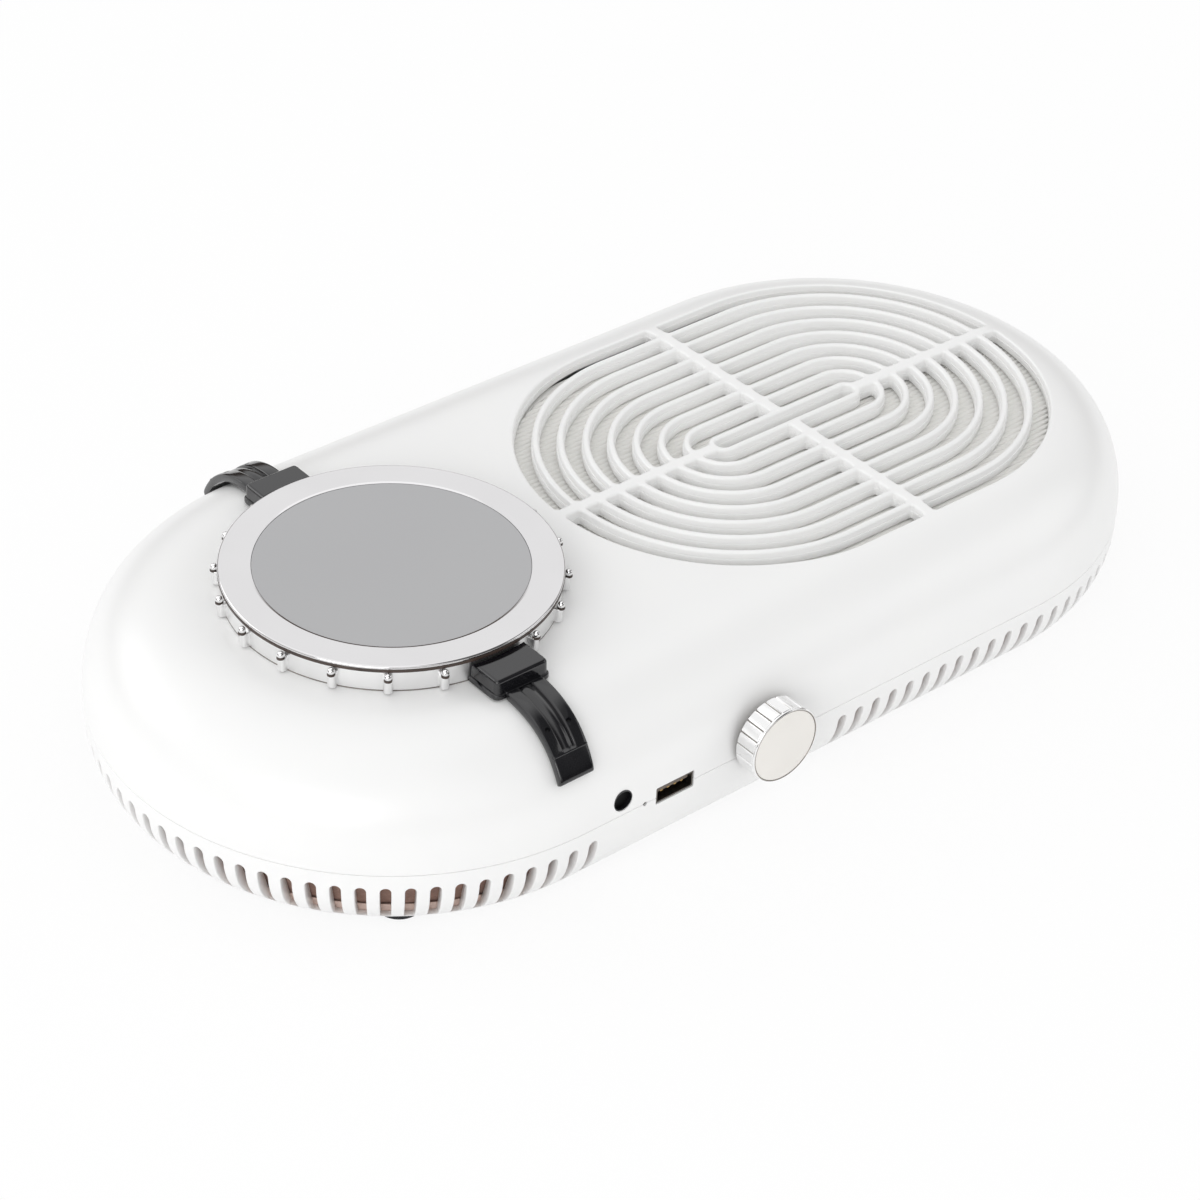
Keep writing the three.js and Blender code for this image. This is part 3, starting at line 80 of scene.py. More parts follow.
# Grille
OPENING_RADIUS = 64.9
GRILLE_LEFT_X = 38.0
GRILLE_RIGHT_X = 90.0
GRILLE_X = (GRILLE_LEFT_X + GRILLE_RIGHT_X) / 2
GRILLE_HALF = GRILLE_RIGHT_X - GRILLE_X
RIB_WIDTH = 2.0
RIB_PITCH = 7.8
RIB_DEPTH = 5.0
BAR_WIDTH = 4.0
LEAST_LOOP = 2.4
RIB_ROUND = 0.85
RIB_ROUND_DROP = 0.75
RIB_SUPPORT = 0.08
RIB_LEDGE = 0.28
RIB_LEDGE_DROP = 2.4
RIB_LEDGE_TOP = ((0.0, -0.08), (-0.03, 0.0))
RIB_LEDGE_EDGE = ((0.05, 0.0), (0.0, 0.06))
RIB_LOW_ROUND = 0.35
RIB_LOW_SHARE = 0.3
FILL_SPLIT_DROP = 4.0
CELL_CORNER = 1.4
CORNER_CLEARANCE = 0.15
RIM_SUPPORT_RADIUS = 66.3
SKIRT_RADIUS = 66.9

# How finely the skin is divided round an end, over the grille and to the left of it
ARC_STEPS = 64
GRILLE_STEPS = 13
NEAR_STEPS = (0, 1.2, 2.6, 4.2, 6, 8, 10.4)
FAR_STEPS = 24
BAR_STEPS = 6
ARC_STEP = 1.3
LEAST_ARC_STEPS = 8
SIDE_STEP = 1.5
MIDDLE_CELL_STEPS = (12, 10)

# Lower band
BAND_ROUND = 22.0
BAND_ROUND_TOP = 20.5
SLOT_LOW_Z = 5.0
SLOT_TOP_Z = 20.4
SLOT_WIDTH = 3.2
SLOT_PITCH = 7.0
PANEL_LEFT_X = -83.1
PANEL_LENGTH = 88.4
PANEL_STEPS = 13
SLOT_EDGE_ROUND = 0.35
SLOT_EDGE_SHARES = ((1, 0), (0.5, 0.12), (0.14, 0.5), (0, 1))
SLOT_SUPPORT = 0.08
SLOT_SIDE_RISE = 0.7
SLOT_CORNER = (0.25, 0.15)
FLOOR_Z = 4.5
INNER_LOW_Z = FLOOR_Z + 0.1
FLOOR_EDGE = ((0.0, 0.1), (-0.3, 0.0), (-0.6, 0.0))
INNER_CORNER = (81.4, 5.3)
GRID_LOW_Z = 4.3
GRID_SIDE_Z = SLOT_LOW_Z + 0.3
GRID_ARC_Z = 19.4
GRID_TOP_Z = 21.5
SIDE_LEVELS = (6.6, 8.4, 10.2, 12, 13.8, 15.6, 17.2)
TOP_SHARES = (-1, -0.62, -0.3, 0, 0.3, 0.62, 1)
LOW_SHARES = (-1, -0.4, 0.4)
BASE_LEVELS = (GRID_LOW_Z, 3.4, 2.7)
BASE_EDGE = ((-0.1, 0.15), (-0.8, 0.0), (-1.2, 0.0))
SILL_BAND_Z = (5.0, 8.4)
SILL_BAND_THICKNESS = 0.32
SILL_BAND_INSET = 0.5
LIP_SECTION = ((84.9, 21.0), (86.9, 21.0), (86.9, 25.4), (88.4, 25.6), (88.4, 27.4), (84.9, 27.4))
LIP_PANEL_GAP = 2

# Posts under the screws of the deck and the board
DECK_POST_RADIUS = 3.5
DECK_POST_TOP_Z = 31.1
BOARD_POST_RADIUS = 3.0
BOARD_POST_GAP = 0.3
POST_FOOT = ((1.2, -0.6), (0.9, 0.2), (0.0, 1.2))
POST_HEAD = ((0.0, -0.3), (-0.3, 0.0))
POST_BORE = 1.6
POST_BORE_EDGE = ((0.1, 0.0), (0.0, -0.3))
POST_LOW_Z = FLOOR_Z - 0.6

# Display module, with profiles as [radius, height] points and walls as two corners of one
DISPLAY_X = -90.0
CASE_WALL = (47.3, 57.8, 49.3, 64.4)
CASE_WALL_EDGE = 0.3
CASE_PLATE = (2.5, 57.8, 48.0, 59.3)
CASE_PLATE_EDGE = 0.2
CASE_RIBS = 20
CASE_RIB = ((48.3, -1.3, 58.0), (51.5, 1.3, 62.5))
CASE_RIB_ROUNDS = (1.15, 0.6)
CASE_RIB_TURN = -2.0
STUD_PLACE_RADIUS = 51.0
STUD_RADIUS = 1.15
STUD_Z = 63.55
STUD_STEPS = 12
STUD_FOOT_SHARE = 0.42
STUD_AXIS = 0.08
# The seat under each stud as [radius, height] points; its dark colour is painted shade round the
# stud's foot
STUD_SHADE_SEAT = ((0.3, 62.3), (1.18, 62.3), (1.18, 62.7), (1.03, 62.8), (0.3, 62.8))
# A ring in the gap at the case's foot; its grey colour is painted shade
CASE_SHADE_RING = (47.75, TOP_Z, 49.25, 57.85)
BEZEL_RADIUS = 50.0
BEZEL_INNER = 40.3
BEZEL_LOW_Z = 65.1
BEZEL_TOP_Z = 66.4
BEZEL_FLAT_INSET = 0.6
BEZEL_STEPS = 12
BEZEL_LIP = ((41.12, 66.4), (41.04, 66.39), (40.44, 66.2), (40.36, 66.16), (40.33, 66.0))
# A dark ring under the bezel as [radius, height] points; its dark colour is painted shade
BEZEL_SHADE_RING = ((46.0, 64.42), (50.05, 64.42), (50.05, 65.4), (49.55, 65.4), (46.0, 65.08))
BEZEL_SHADE_RING_EDGE = 0.15
WINDOW_LOW = ((0.1, 63.4), (40.07, 63.4), (40.27, 63.6), (40.27, 66.0))
WINDOW_TOP = ((40.23, 66.09), (40.15, 66.12), (39.27, 66.12), (0.1, 66.12))

# Lugs about the display's middle: the side as [outward, height] points, the step under the bezel
# as [radius, height] points
LUG_WIDTH = 19.8
LUG_INNER = 49.4
LUG_OUTER = 61.2
LUG_SIDE_Y = 53
LUG_CORNER = 2.4
LUG_TOP_Z = 64.0
LUG_ROUND = 1.1
LUG_WAIST = 0.7
LUG_SIDE = ((-0.3, 57.8), (0.0, 58.0), (0.0, 59.1), (-0.12, 59.3), (-0.55, 59.4), (-0.6, 59.6))
LUG_STEP_LOW = ((49, 65), (49, 63.3), (51.9, 63.3), (52.02, 63.35), (52.08, 63.5))
LUG_STEP_TOP = ((52.14, 63.75), (52.3, 63.92), (52.65, 64.02), (52.65, 65))
LUG_STEP_TURNS = (76, 104)

# Straps
STRAP_WIDTH = 13.0
STRAP_LIFT = 0.3
STRAP_THICKNESS = 2.4
STRAP_CHANNEL = 0.8
STRAP_START = 61.5
STRAP_END = 85.8
STRAP_STEPS = 24
STRAP_TAPER = 0.09
STRAP_LEAN = 1.8
SLOPE_STEP = 0.05
REAR_BOW = 1.5
CHANNEL_STOP = 5.3
TONGUE = ((DISPLAY_X - 6.3, 54.6, 57.9), (DISPLAY_X + 6.3, 61.4, 59.8))
TONGUE_ROUNDS = (0.6, 0.3)
PIT_PLACES = (-4.15, 3.34)
PIT_Y = 75.5
PIT_STEPS = 16
PIT_FLATTENING = 0.8
PIT_LEVELS = ((-1.1, 0.7), (0.5, 0.95))

# The strap's side as [inward, upward] steps from its foot
STRAP_SIDE = ((-0.1, 0.0), (0.0, 0.2))

# The strap's top across its width: its outer edge as steps from the edge and the top, the channel's
# rim as [x, drop] and its bed as [x, rise], where drop and rise fade out with the channel
STRAP_EDGE = ((0.0, -0.5), (-0.12, -0.2), (-0.4, -0.04), (-1.0, 0.0))
STRAP_RIM = ((2.9, 0.06), (2.5, 0.14))
CHANNEL_WALL = (2.25, 0.4)
STRAP_BED = ((2.1, 0.0), (1.6, 0.04), (1.0, 0.25), (0.5, 0.4), (0.12, 0.44))

# The strap's end: the distance before its tip, how deep the channel is, and the top's drop
STRAP_TIP = (
    (5.05, 0.8, 0), (4.8, 0.25, 0), (4.65, 0, 0), (4.5, 0, -0.14), (4.35, 0, -0.15), (4.25, 0, 0),
    (4.1, 0, 0), (2.6, 0, 0), (1.2, 0, 0), (0.6, 0, 0.05), (0.25, 0, 0.16), (0.08, 0, 0.34),
    (0, 0, 0.6),
)

# Front panel: what turns about an axis along Y has [radius, y] points
CUT_Y = (-93.0, -86.0)
DC_X = -76.3
DC_Z = 30.0
DC_HOLE = 3.4
DC_BORE = 3.1
DC_BORE_Y = (-88.2, -77.3)
DC_NOSE = (DC_BORE, -87.2, 3.5, -84.6)
DC_NOSE_EDGE = 0.15
DC_LINER = (3.05, -89.7, 3.38, -87.6)
DC_LINER_EDGE = 0.12
DC_BLOCK_Y = -85.28
DC_BLOCK_ROUNDS = (0.3, 0.3)
DC_PIN = ((0.05, -85.7), (0.5, -85.7), (0.85, -85.45), (1.0, -85.1), (1.0, -76.5), (0.05, -76.5))
LED_X = -68.1
LED_HOLE = 0.75
LED_AXIS = 0.05
LED_RADIUS = 0.68
LED_DOME = ((LED_AXIS, -89.7), (0.3, -89.66), (0.5, -89.52), (0.62, -89.3), (LED_RADIUS, -89.0))
USB_X = -57.0
USB_HOLE = ((-64.1, 22.6), (-49.9, 22.6), (-49.9, 28.4), (-64.1, 28.4))
USB_CORNER = 0.5
CORE_HALF = 6.1
CORE_BOXES = ((-88.4, 25.4, 27.0, 0.3), (-78.0, 23.7, 27.3, 0.2))
CORE_EDGE = 0.2
CONTACTS = 4
CONTACT_PITCH = 2.5
CONTACT_HALF = 0.5
CONTACT_Y = (-88.5, -78.2)
CONTACT_Z = (25.25, 25.6)
CONTACT_ROUNDS = (0.2, 0.08)
KNOB_X = -23.5
KNOB_Z = 30.5
KNOB_RADIUS = 12.2
KNOB_FLUTES = 20
KNOB_STEPS = KNOB_FLUTES * 16
KNOB_FLUTE_DEPTH = 0.55
KNOB_FLUTE_SLOPE = 0.1
FLUTE_HALF_SHARE = 0.17
FLUTE_EDGE_SHARE = 0.1
BUSH_HOLE = 4.0
BUSH_NOTCH_Z = 23.0

# The knob: its fluted part as [outward, y] points, then the rim before and after its round, and
# the face
KNOB_GRIP = ((-2, -91.2), (-0.4, -91.2), (0, -91.6), (0, -98.15), (-0.1, -98.32), (-0.3, -98.4))
KNOB_RIM = ((11.0, -98.4), (12.1, -98.4), (KNOB_RADIUS, -98.5))
KNOB_RIM_ROUND = 0.45
KNOB_FACE_Y = -99.2
KNOB_SEAT = ((11.6, KNOB_FACE_Y), (11.55, -99.12), (11.55, -98.8), (0.1, -98.8))
FACE_EDGE = ((0.05, -98.6), (11.52, -98.6), (11.52, -99.0), (11.47, -99.1), (11.22, -99.15))
FACE_DISH = ((9.0, -99.18), (4.0, KNOB_FACE_Y), (0.05, KNOB_FACE_Y))

# Feet
FOOT_PAD = ((0.1, 0.0), (5.2, 0.0), (5.6, 0.25), (6.4, 0.0), (7.0, 0.5), (7.0, 1.98), (0.1, 1.98))
FOOT_EDGE = 0.3
FOOT_STUD = ((2.0, 1.9), (2.0, 4.6), (1.6, 5.0), (0.1, 5.1))

# Filter
FILTER_LEFT_X = -31.0
FILTER_RIGHT_X = 159.0
FILTER_HALF_WIDTH = 64.0
FILTER_LOW_Z = 35.5
FILTER_TOP_Z = 51.5
FILTER_CORNER = 60.0
FILTER_WALL = 3.0
FILTER_FLAT = FILTER_HALF_WIDTH - FILTER_CORNER
FILTER_SILL = (1.6, 1.0)
FILTER_EDGE = 0.4
PLEAT_GAP = 0.35
PLEAT_PITCH = 2.05
PLEAT_DEPTH = 0.55
PLEAT_RISE = 0.4
PLEAT_LOW_Z = 37.2
PLEAT_CREST = ((0.05, PLEAT_DEPTH), (0.12, 0.34), (0.2, 0.14), (0.32, 0.04), (0.5, 0.0))

# Camera, fitted to the photograph
CAMERA_TARGET = (2.96, 18.69, 3.96)
CAMERA_TURN = -41.48
CAMERA_RISE = 36.12
CAMERA_ROLL = 2.96
CAMERA_DISTANCE = 1063.9
CAMERA_LENS = 101.19
CAMERA_SENSOR = 36.0
CAMERA_CLIP = (0.05, 60)

# Studio: lamps in metres and watts, and where it is dark, for reflections in gloss and plating
LAMP_AIM = (0, 0, 0.03)
LAMPS = (
    ("overhead", (0.1, 0.25, 1.7), (1.8, 1.4), 1.6),
    ("left", (-1.9, -1.0, 0.85), (1.6, 1.1), 14.5),
    ("right", (1.5, -0.9, 0.85), (1.2, 1.0), 4),
    ("rear", (-0.9, 1.6, 1.0), (1.4, 1.0), 6),
)
WHITE = (1, 1, 1, 1)
WORLD_LEVEL = 0.75
DARK_SIDE = (0.55, -0.5, 0.62)
SIDE_STOPS = ((0.72, WHITE), (0.84, (0.1, 0.1, 0.1, 1)))
HORIZON_STOPS = ((0.0, (0.05, 0.035, 0.028, 1)), (0.2, (0.12, 0.095, 0.08, 1)), (0.38, WHITE))
FLOOR_SIZE = 24
FLOOR_COLOUR = (0.97, 0.97, 0.97, 1)
FLOOR_GLOW = 0.88


def srgb(*channels):
    """A colour as it shows on screen, 0 to 255, as the linear values that a shader takes."""
    linear = []
    for channel in channels:
        c = channel / 255
        linear.append(c / 12.92 if c <= 0.04045 else ((c + 0.055) / 1.055) ** 2.4)
    return (*linear, 1.0)


# Materials


def add_node(tree, kind, inputs=(), **settings):
    """A new shader node with its settings, and its inputs as values or other nodes' outputs."""
    node = tree.nodes.new("ShaderNode" + kind)
    for name, value in settings.items():
        setattr(node, name, value)
    for socket, value in dict(inputs).items():
        if isinstance(value, bpy.types.NodeSocket):
            tree.links.new(value, node.inputs[socket])
        else:
            node.inputs[socket].default_value = value
    return node


def add_ramp(tree, value, stops):
    """A colour ramp with its [position, colour] stops."""
    node = add_node(tree, "ValToRGB", {"Fac": value})
    elements = node.color_ramp.elements
    while len(elements) < len(stops):
        elements.new(0.5)
    for element, (position, colour) in zip(elements, stops):
        element.position = position
        element.color = colour
    return node.outputs["Color"]


class Recipe:
    """A node material in the making: its tree, its shader and short ways to add nodes."""

    def __init__(self, name, roughness, metallic=0.0):
        self.material = bpy.data.materials.new(name)
        self.material.use_nodes = True
        self.tree = self.material.node_tree
        self.shader = self.tree.nodes["Principled BSDF"]
        self.level("Roughness", roughness)
        self.level("Metallic", metallic)
        self.place = add_node(self.tree, "TexCoord").outputs["Object"]

    def level(self, socket, value):
        self.shader.inputs[socket].default_value = value

    def feed(self, output, socket):
        self.tree.links.new(output, self.shader.inputs[socket])

    def noise(self, scale, detail, rough=0.5, stretch=(1, 1, 1)):
        turned_to = {"Vector": self.place, "Scale": [scale * s for s in stretch]}
        mapping = add_node(self.tree, "Mapping", turned_to).outputs["Vector"]
        settings = {"Vector": mapping, "Scale": 1.0, "Detail": detail, "Roughness": rough}
        return add_node(self.tree, "TexNoise", settings).outputs["Fac"]

    def tone(self, noise, dark, light, low=0.2, high=0.8):
        stops = ((low, srgb(*dark)), (high, srgb(*light)))
        self.feed(add_ramp(self.tree, self.noise(*noise), stops), "Base Color")

    def rough(self, noise, low, high):
        levels = {"From Min": 0.15, "From Max": 0.85, "To Min": low, "To Max": high}
        node = add_node(self.tree, "MapRange", {"Value": self.noise(*noise), **levels})
        self.feed(node.outputs["Result"], "Roughness")

    def relief(self, height, strength, depth):
        inputs = {"Height": height, "Strength": strength, "Distance": depth * METRE}
        self.feed(add_node(self.tree, "Bump", inputs).outputs["Normal"], "Normal")

    def bump(self, noise, strength, depth):
        self.relief(self.noise(*noise), strength, depth)

    def coat(self, weight, roughness):
        self.level("Coat Weight", weight)
        self.level("Coat Roughness", roughness)

    def sheen(self, weight, roughness):
        self.level("Sheen Weight", weight)
        self.level("Sheen Roughness", roughness)


def finish(name, roughness, metallic=0.0, specular=None, **layers):
    """A material from its name and levels. Each noise is its scale per metre, detail, roughness
    and stretch. tone adds two colours and where they start, rough two levels, bump a strength and
    a depth, and coat and sheen are a weight and a roughness."""
    m = Recipe(name, roughness, metallic)
    if specular is not None:
        m.level("Specular IOR Level", specular)
    for layer, values in layers.items():
        getattr(m, layer)(*values)
    return m.material


def knob_plating_painted_shade():
    """Bright plating with painted shade: dark and dull low in the grooves, by the distance from the
    axis.
    """
    m = Recipe("knob_plating_painted_shade", 0.1, 1.0)
    axis = (KNOB_X * METRE, 0, KNOB_Z * METRE)
    away = add_node(m.tree, "VectorMath", {0: m.place, 1: axis}, operation="SUBTRACT")
    flat = {0: away.outputs["Vector"], 1: (1, 0, 1)}
    flat = add_node(m.tree, "VectorMath", flat, operation="MULTIPLY").outputs["Vector"]
    reach = add_node(m.tree, "VectorMath", {0: flat}, operation="LENGTH").outputs["Value"]
    low = (KNOB_RADIUS - KNOB_FLUTE_DEPTH) * METRE
    high = (KNOB_RADIUS - KNOB_FLUTE_SLOPE) * METRE
    share = add_node(m.tree, "MapRange", {"Value": reach, "From Min": low, "From Max": high})
    # Painted shade: the groove floors turn dark grey while the lands stay bright
    painted_groove_shade = ((0.0, srgb(128, 120, 113)), (0.3, srgb(196, 193, 190)), (0.7, srgb(244, 244, 244)))
    m.feed(add_ramp(m.tree, share.outputs["Result"], painted_groove_shade), "Base Color")
    m.rough((240, 3), 0.07, 0.14)
    return m.material


def circuit_board():
    m = Recipe("circuit_board", 0.45)
    inputs = {"Vector": m.place, "Scale": 260.0}
    shape = {"feature": "DISTANCE_TO_EDGE", "distance": "CHEBYCHEV"}
    tracks = add_node(m.tree, "TexVoronoi", inputs, **shape).outputs["Distance"]
    stops = ((0.04, srgb(56, 120, 78)), (0.07, srgb(26, 82, 50)))
    m.feed(add_ramp(m.tree, tracks, stops), "Base Color")
    m.rough((500, 3), 0.35, 0.5)
    m.relief(tracks, 0.1, 0.05)
    m.coat(0.3, 0.2)
    return m.material


FINISHES = {
    "body_white": finish(
        "white_gloss_plastic", 0.3, tone=((45, 3), (241, 241, 241), (243, 243, 242), 0.0, 1.0),
        rough=((30, 2), 0.285, 0.345), bump=((150, 2), 0.2, 0.02), coat=(0.15, 0.28),
    ),
    "satin_white": finish(
        "white_satin_plastic", 0.5, tone=((60, 2), (238, 237, 234), (242, 241, 238)),
        rough=((300, 3), 0.42, 0.55), bump=((2500, 2), 0.12, 0.04),
    ),
    "bright_trim": finish(
        "bright_plating", 0.07, 1.0, tone=((50, 2), (238, 238, 239), (245, 245, 245)),
        rough=((240, 3), 0.05, 0.11), bump=((120, 2), 0.03, 0.05),
    ),
    "grey_window": finish(
        "smoked_window", 0.2, tone=((12, 1), (169, 169, 171), (174, 174, 175)),
        rough=((200, 2), 0.16, 0.22), coat=(0.5, 0.05),
    ),
    "black_gloss": finish(
        "black_gloss_plastic", 0.2, tone=((90, 2), (18, 18, 21), (24, 24, 27)),
        rough=((200, 2), 0.12, 0.2), bump=((120, 1), 0.12, 0.06), coat=(0.5, 0.06),
    ),
    "black_satin": finish(
        "black_satin_plastic", 0.5, tone=((90, 2), (26, 26, 28), (34, 34, 36)),
        rough=((400, 3), 0.42, 0.6), bump=((2200, 2), 0.15, 0.04),
    ),
    "foot_rubber": finish(
        "foot_rubber", 0.85, tone=((300, 3), (30, 30, 32), (44, 44, 46)),
        rough=((700, 3), 0.75, 0.92), bump=((1800, 4), 0.3, 0.06),
    ),
    # Painted light: the felt's warm brown stands in for the warm light that comes through the thin
    # white walls into the slots
    "brown_felt": finish(
        "brown_felt", 0.95, tone=((700, 5, 0.7), (128, 93, 80), (176, 138, 122)),
        bump=((1600, 6, 0.7), 0.5, 0.2), sheen=(0.4, 0.5),
    ),
    "filter_paper": finish(
        "filter_paper", 0.92, tone=((900, 6, 0.7), (240, 239, 235), (248, 247, 244)),
        bump=((1400, 6, 0.65), 0.12, 0.05), sheen=(0.15, 0.6),
    ),
    "foam": finish(
        "cell_foam", 0.95, tone=((1200, 4), (50, 50, 52), (72, 72, 74)),
        bump=((1500, 4), 0.5, 0.15),
    ),
    "board": circuit_board(),
    "battery_wrap": finish(
        "shrink_wrap", 0.35, tone=((30, 3), (108, 78, 66), (130, 98, 84)),
        rough=((120, 3), 0.28, 0.42), bump=((90, 3, 0.5, (0.3, 1.6, 1)), 0.3, 0.4),
        coat=(0.4, 0.15),
    ),
    "steel": finish(
        "bright_steel", 0.25, 1.0, tone=((200, 3), (196, 198, 202), (214, 216, 220)),
        rough=((900, 3, 0.5, (0.2, 1, 1)), 0.16, 0.26),
        bump=((2000, 2, 0.5, (0.1, 1, 1)), 0.06, 0.03),
    ),
    "dark_steel": finish(
        "dull_steel", 0.4, 1.0, tone=((160, 3), (138, 140, 146), (160, 162, 168)),
        rough=((800, 3, 0.5, (1, 0.2, 1)), 0.32, 0.48), bump=((1800, 3), 0.1, 0.03),
    ),
    "copper": finish(
        "copper_winding", 0.35, 1.0, tone=((600, 3), (176, 100, 60), (202, 130, 84)),
        rough=((900, 2, 0.5, (1, 1, 6)), 0.28, 0.42),
        bump=((2600, 1, 0.5, (0.1, 0.1, 1)), 0.5, 0.1),
    ),
    "lens": finish(
        "light_lens", 0.2, tone=((400, 2), (44, 39, 37), (56, 50, 47)),
        rough=((900, 2), 0.14, 0.24), coat=(0.6, 0.05),
    ),
}

CASE_PLATING = finish(
    "case_plating", 0.3, 1.0, tone=((60, 2), (243, 243, 243), (248, 248, 248)),
    rough=((200, 2), 0.3, 0.38), bump=((300, 2), 0.05, 0.03),
)
BEZEL_PLATING = finish(
    "bezel_plating", 0.1, 1.0, tone=((50, 2), (223, 222, 223), (227, 226, 227)),
    rough=((120, 2), 0.08, 0.12), bump=((60, 1), 0.04, 0.04),
)
# Painted shade: a dark brown for the ring under the bezel and the seats under the studs
BROWN_PAINTED_SHADE = finish(
    "brown_painted_shade", 0.3, tone=((180, 3), (48, 39, 35), (78, 65, 58)), rough=((260, 3), 0.28, 0.42),
    bump=((500, 2), 0.2, 0.06),
)
# Painted shade: a grey for the ring that darkens the line at the case's foot
GREY_PAINTED_SHADE = finish(
    "grey_painted_shade", 0.5, tone=((60, 3), (84, 78, 74), (150, 144, 139)), rough=((260, 3), 0.4, 0.6),
    bump=((500, 2), 0.2, 0.06),
)
# Painted light: a pale felt colour that lightens the foot of each slot
PAINTED_LIGHT_FELT = finish(
    "felt_painted_light", 0.95, tone=((500, 4, 0.7), (206, 180, 168), (224, 202, 192)),
    bump=((1600, 6, 0.7), 0.4, 0.15),
)
KNOB_FACE = finish(
    "knob_face_satin", 0.4, tone=((70, 2), (234, 231, 226), (238, 235, 230)),
    rough=((400, 3), 0.34, 0.46), bump=((3000, 2), 0.1, 0.03),
)
SOCKET_BLACK = finish(
    "socket_black", 0.6, specular=0.15, tone=((90, 2), (12, 12, 13), (20, 19, 20)),
    rough=((400, 3), 0.45, 0.65), bump=((1600, 2), 0.15, 0.04),
)
# Painted shade: a dark copy of steel for the USB shell, so that its rim sinks into the shade of the
# port
PORT_PLATING_PAINTED_SHADE = finish(
    "port_plating_painted_shade", 0.35, 1.0, tone=((500, 3), (96, 92, 88), (122, 118, 112)),
    rough=((900, 2), 0.3, 0.45),
)
PORT_CORE = finish(
    "port_core", 0.5, tone=((1500, 3), (92, 80, 70), (136, 122, 110)), rough=((900, 2), 0.35, 0.5),
    bump=((2500, 2), 0.2, 0.04),
)
CONTACT_GOLD = finish(
    "contact_plating", 0.3, 1.0, tone=((900, 2), (196, 160, 96), (214, 180, 120)),
    rough=((1200, 2), 0.28, 0.36),
)


def dress_cad_nodes():
    """Gives each CAD node the procedural finish of its material slot."""
    for row in frame["record"]["subparts"]:
        materials = frame["nodes"][row["node"]].data.materials
        materials.clear()
        materials.append(FINISHES[row["material_slot"]])
    # The USB shell gets the dark steel of painted shade
    frame["nodes"]["usb_shell"].data.materials[0] = PORT_PLATING_PAINTED_SHADE


# Building meshes


def steps_between(low, high, count):
    return [low + (high - low) * i / count for i in range(count + 1)]


def line(start, end, count):
    """Points at even steps from a start to an end."""
    return list(zip(*(steps_between(a, b, count) for a, b in zip(start, end))))


def steps_from(x, y, steps):
    """Points at small steps from a place."""
    return [(x + dx, y + dy) for dx, dy in steps]


def rectangle(x0, y0, x1, y1):
    return [(x0, y0), (x1, y0), (x1, y1), (x0, y1)]


def circle(x, y, radius, steps):
    turns = [2 * pi * k / steps for k in range(steps)]
    return [(x + radius * cos(turn), y + radius * sin(turn)) for turn in turns]


def quarter_round(x, y, across, up, steps):
    """Points round a corner, from below it, or above where up is negative, to its inner side."""
    angles = steps_between(0, pi / 2, steps)
    return [(x - across * (1 - cos(a)), y - up * (1 - sin(a))) for a in angles]


def bend(start, corner, end, share):
    """A point of the curve from start to end that a corner pulls towards itself."""
    rest = 1 - share
    weights = (rest * rest, 2 * rest * share, share * share)
    return tuple(
        weights[0] * a + weights[1] * b + weights[2] * c for a, b, c in zip(start, corner, end)
    )


def toward(point, other, reach):
    length = dist(point, other)
    return tuple(p + (o - p) / length * reach for p, o in zip(point, other))


def soften(points, radius, steps=3, closed=True):
    """A flat outline with each corner rounded off."""
    made = []
    for i, point in enumerate(points):
        if not closed and i in (0, len(points) - 1):
            made.append(point)
            continue
        before, after = points[i - 1], points[(i + 1) % len(points)]
        room = [dist(point, other) * CORNER_SHARE for other in (before, after)]
        reach = min(radius, *room)
        start, end = toward(point, before, reach), toward(point, after, reach)
        made += [bend(start, point, end, k / steps) for k in range(steps + 1)]
    return made


def outline_normals(points):
    """The outward direction at each point of an outline that runs anticlockwise."""
    normals = []
    for i, (px, py) in enumerate(points):
        ax, ay = points[i - 1]
        bx, by = points[(i + 1) % len(points)]
        one = Vector((py - ay, ax - px)).normalized()
        two = Vector((by - py, px - bx)).normalized()
        both = one + two
        normals.append(both * (2 / both.length_squared))
    return normals


def grown(points, distance):
    """An outline moved outward by a distance."""
    normals = outline_normals(points)
    return [(x + n.x * distance, y + n.y * distance) for (x, y), n in zip(points, normals)]


def upright(outline, z):
    return [(x, y, z) for x, y in outline]


def facing(outline, y):
    return [(x, y, z) for x, z in outline]


def box_rings(low, high, corner, edge):
    """The rings of an upright block whose corners and edges are rounded."""
    plan = soften(rectangle(*low[:2], *high[:2]), corner, 5)
    side = [(-edge, low[2]), (0, low[2]), (0, high[2]), (-edge, high[2])]
    return [upright(grown(plan, out), z) for out, z in soften(side, edge, closed=False)]


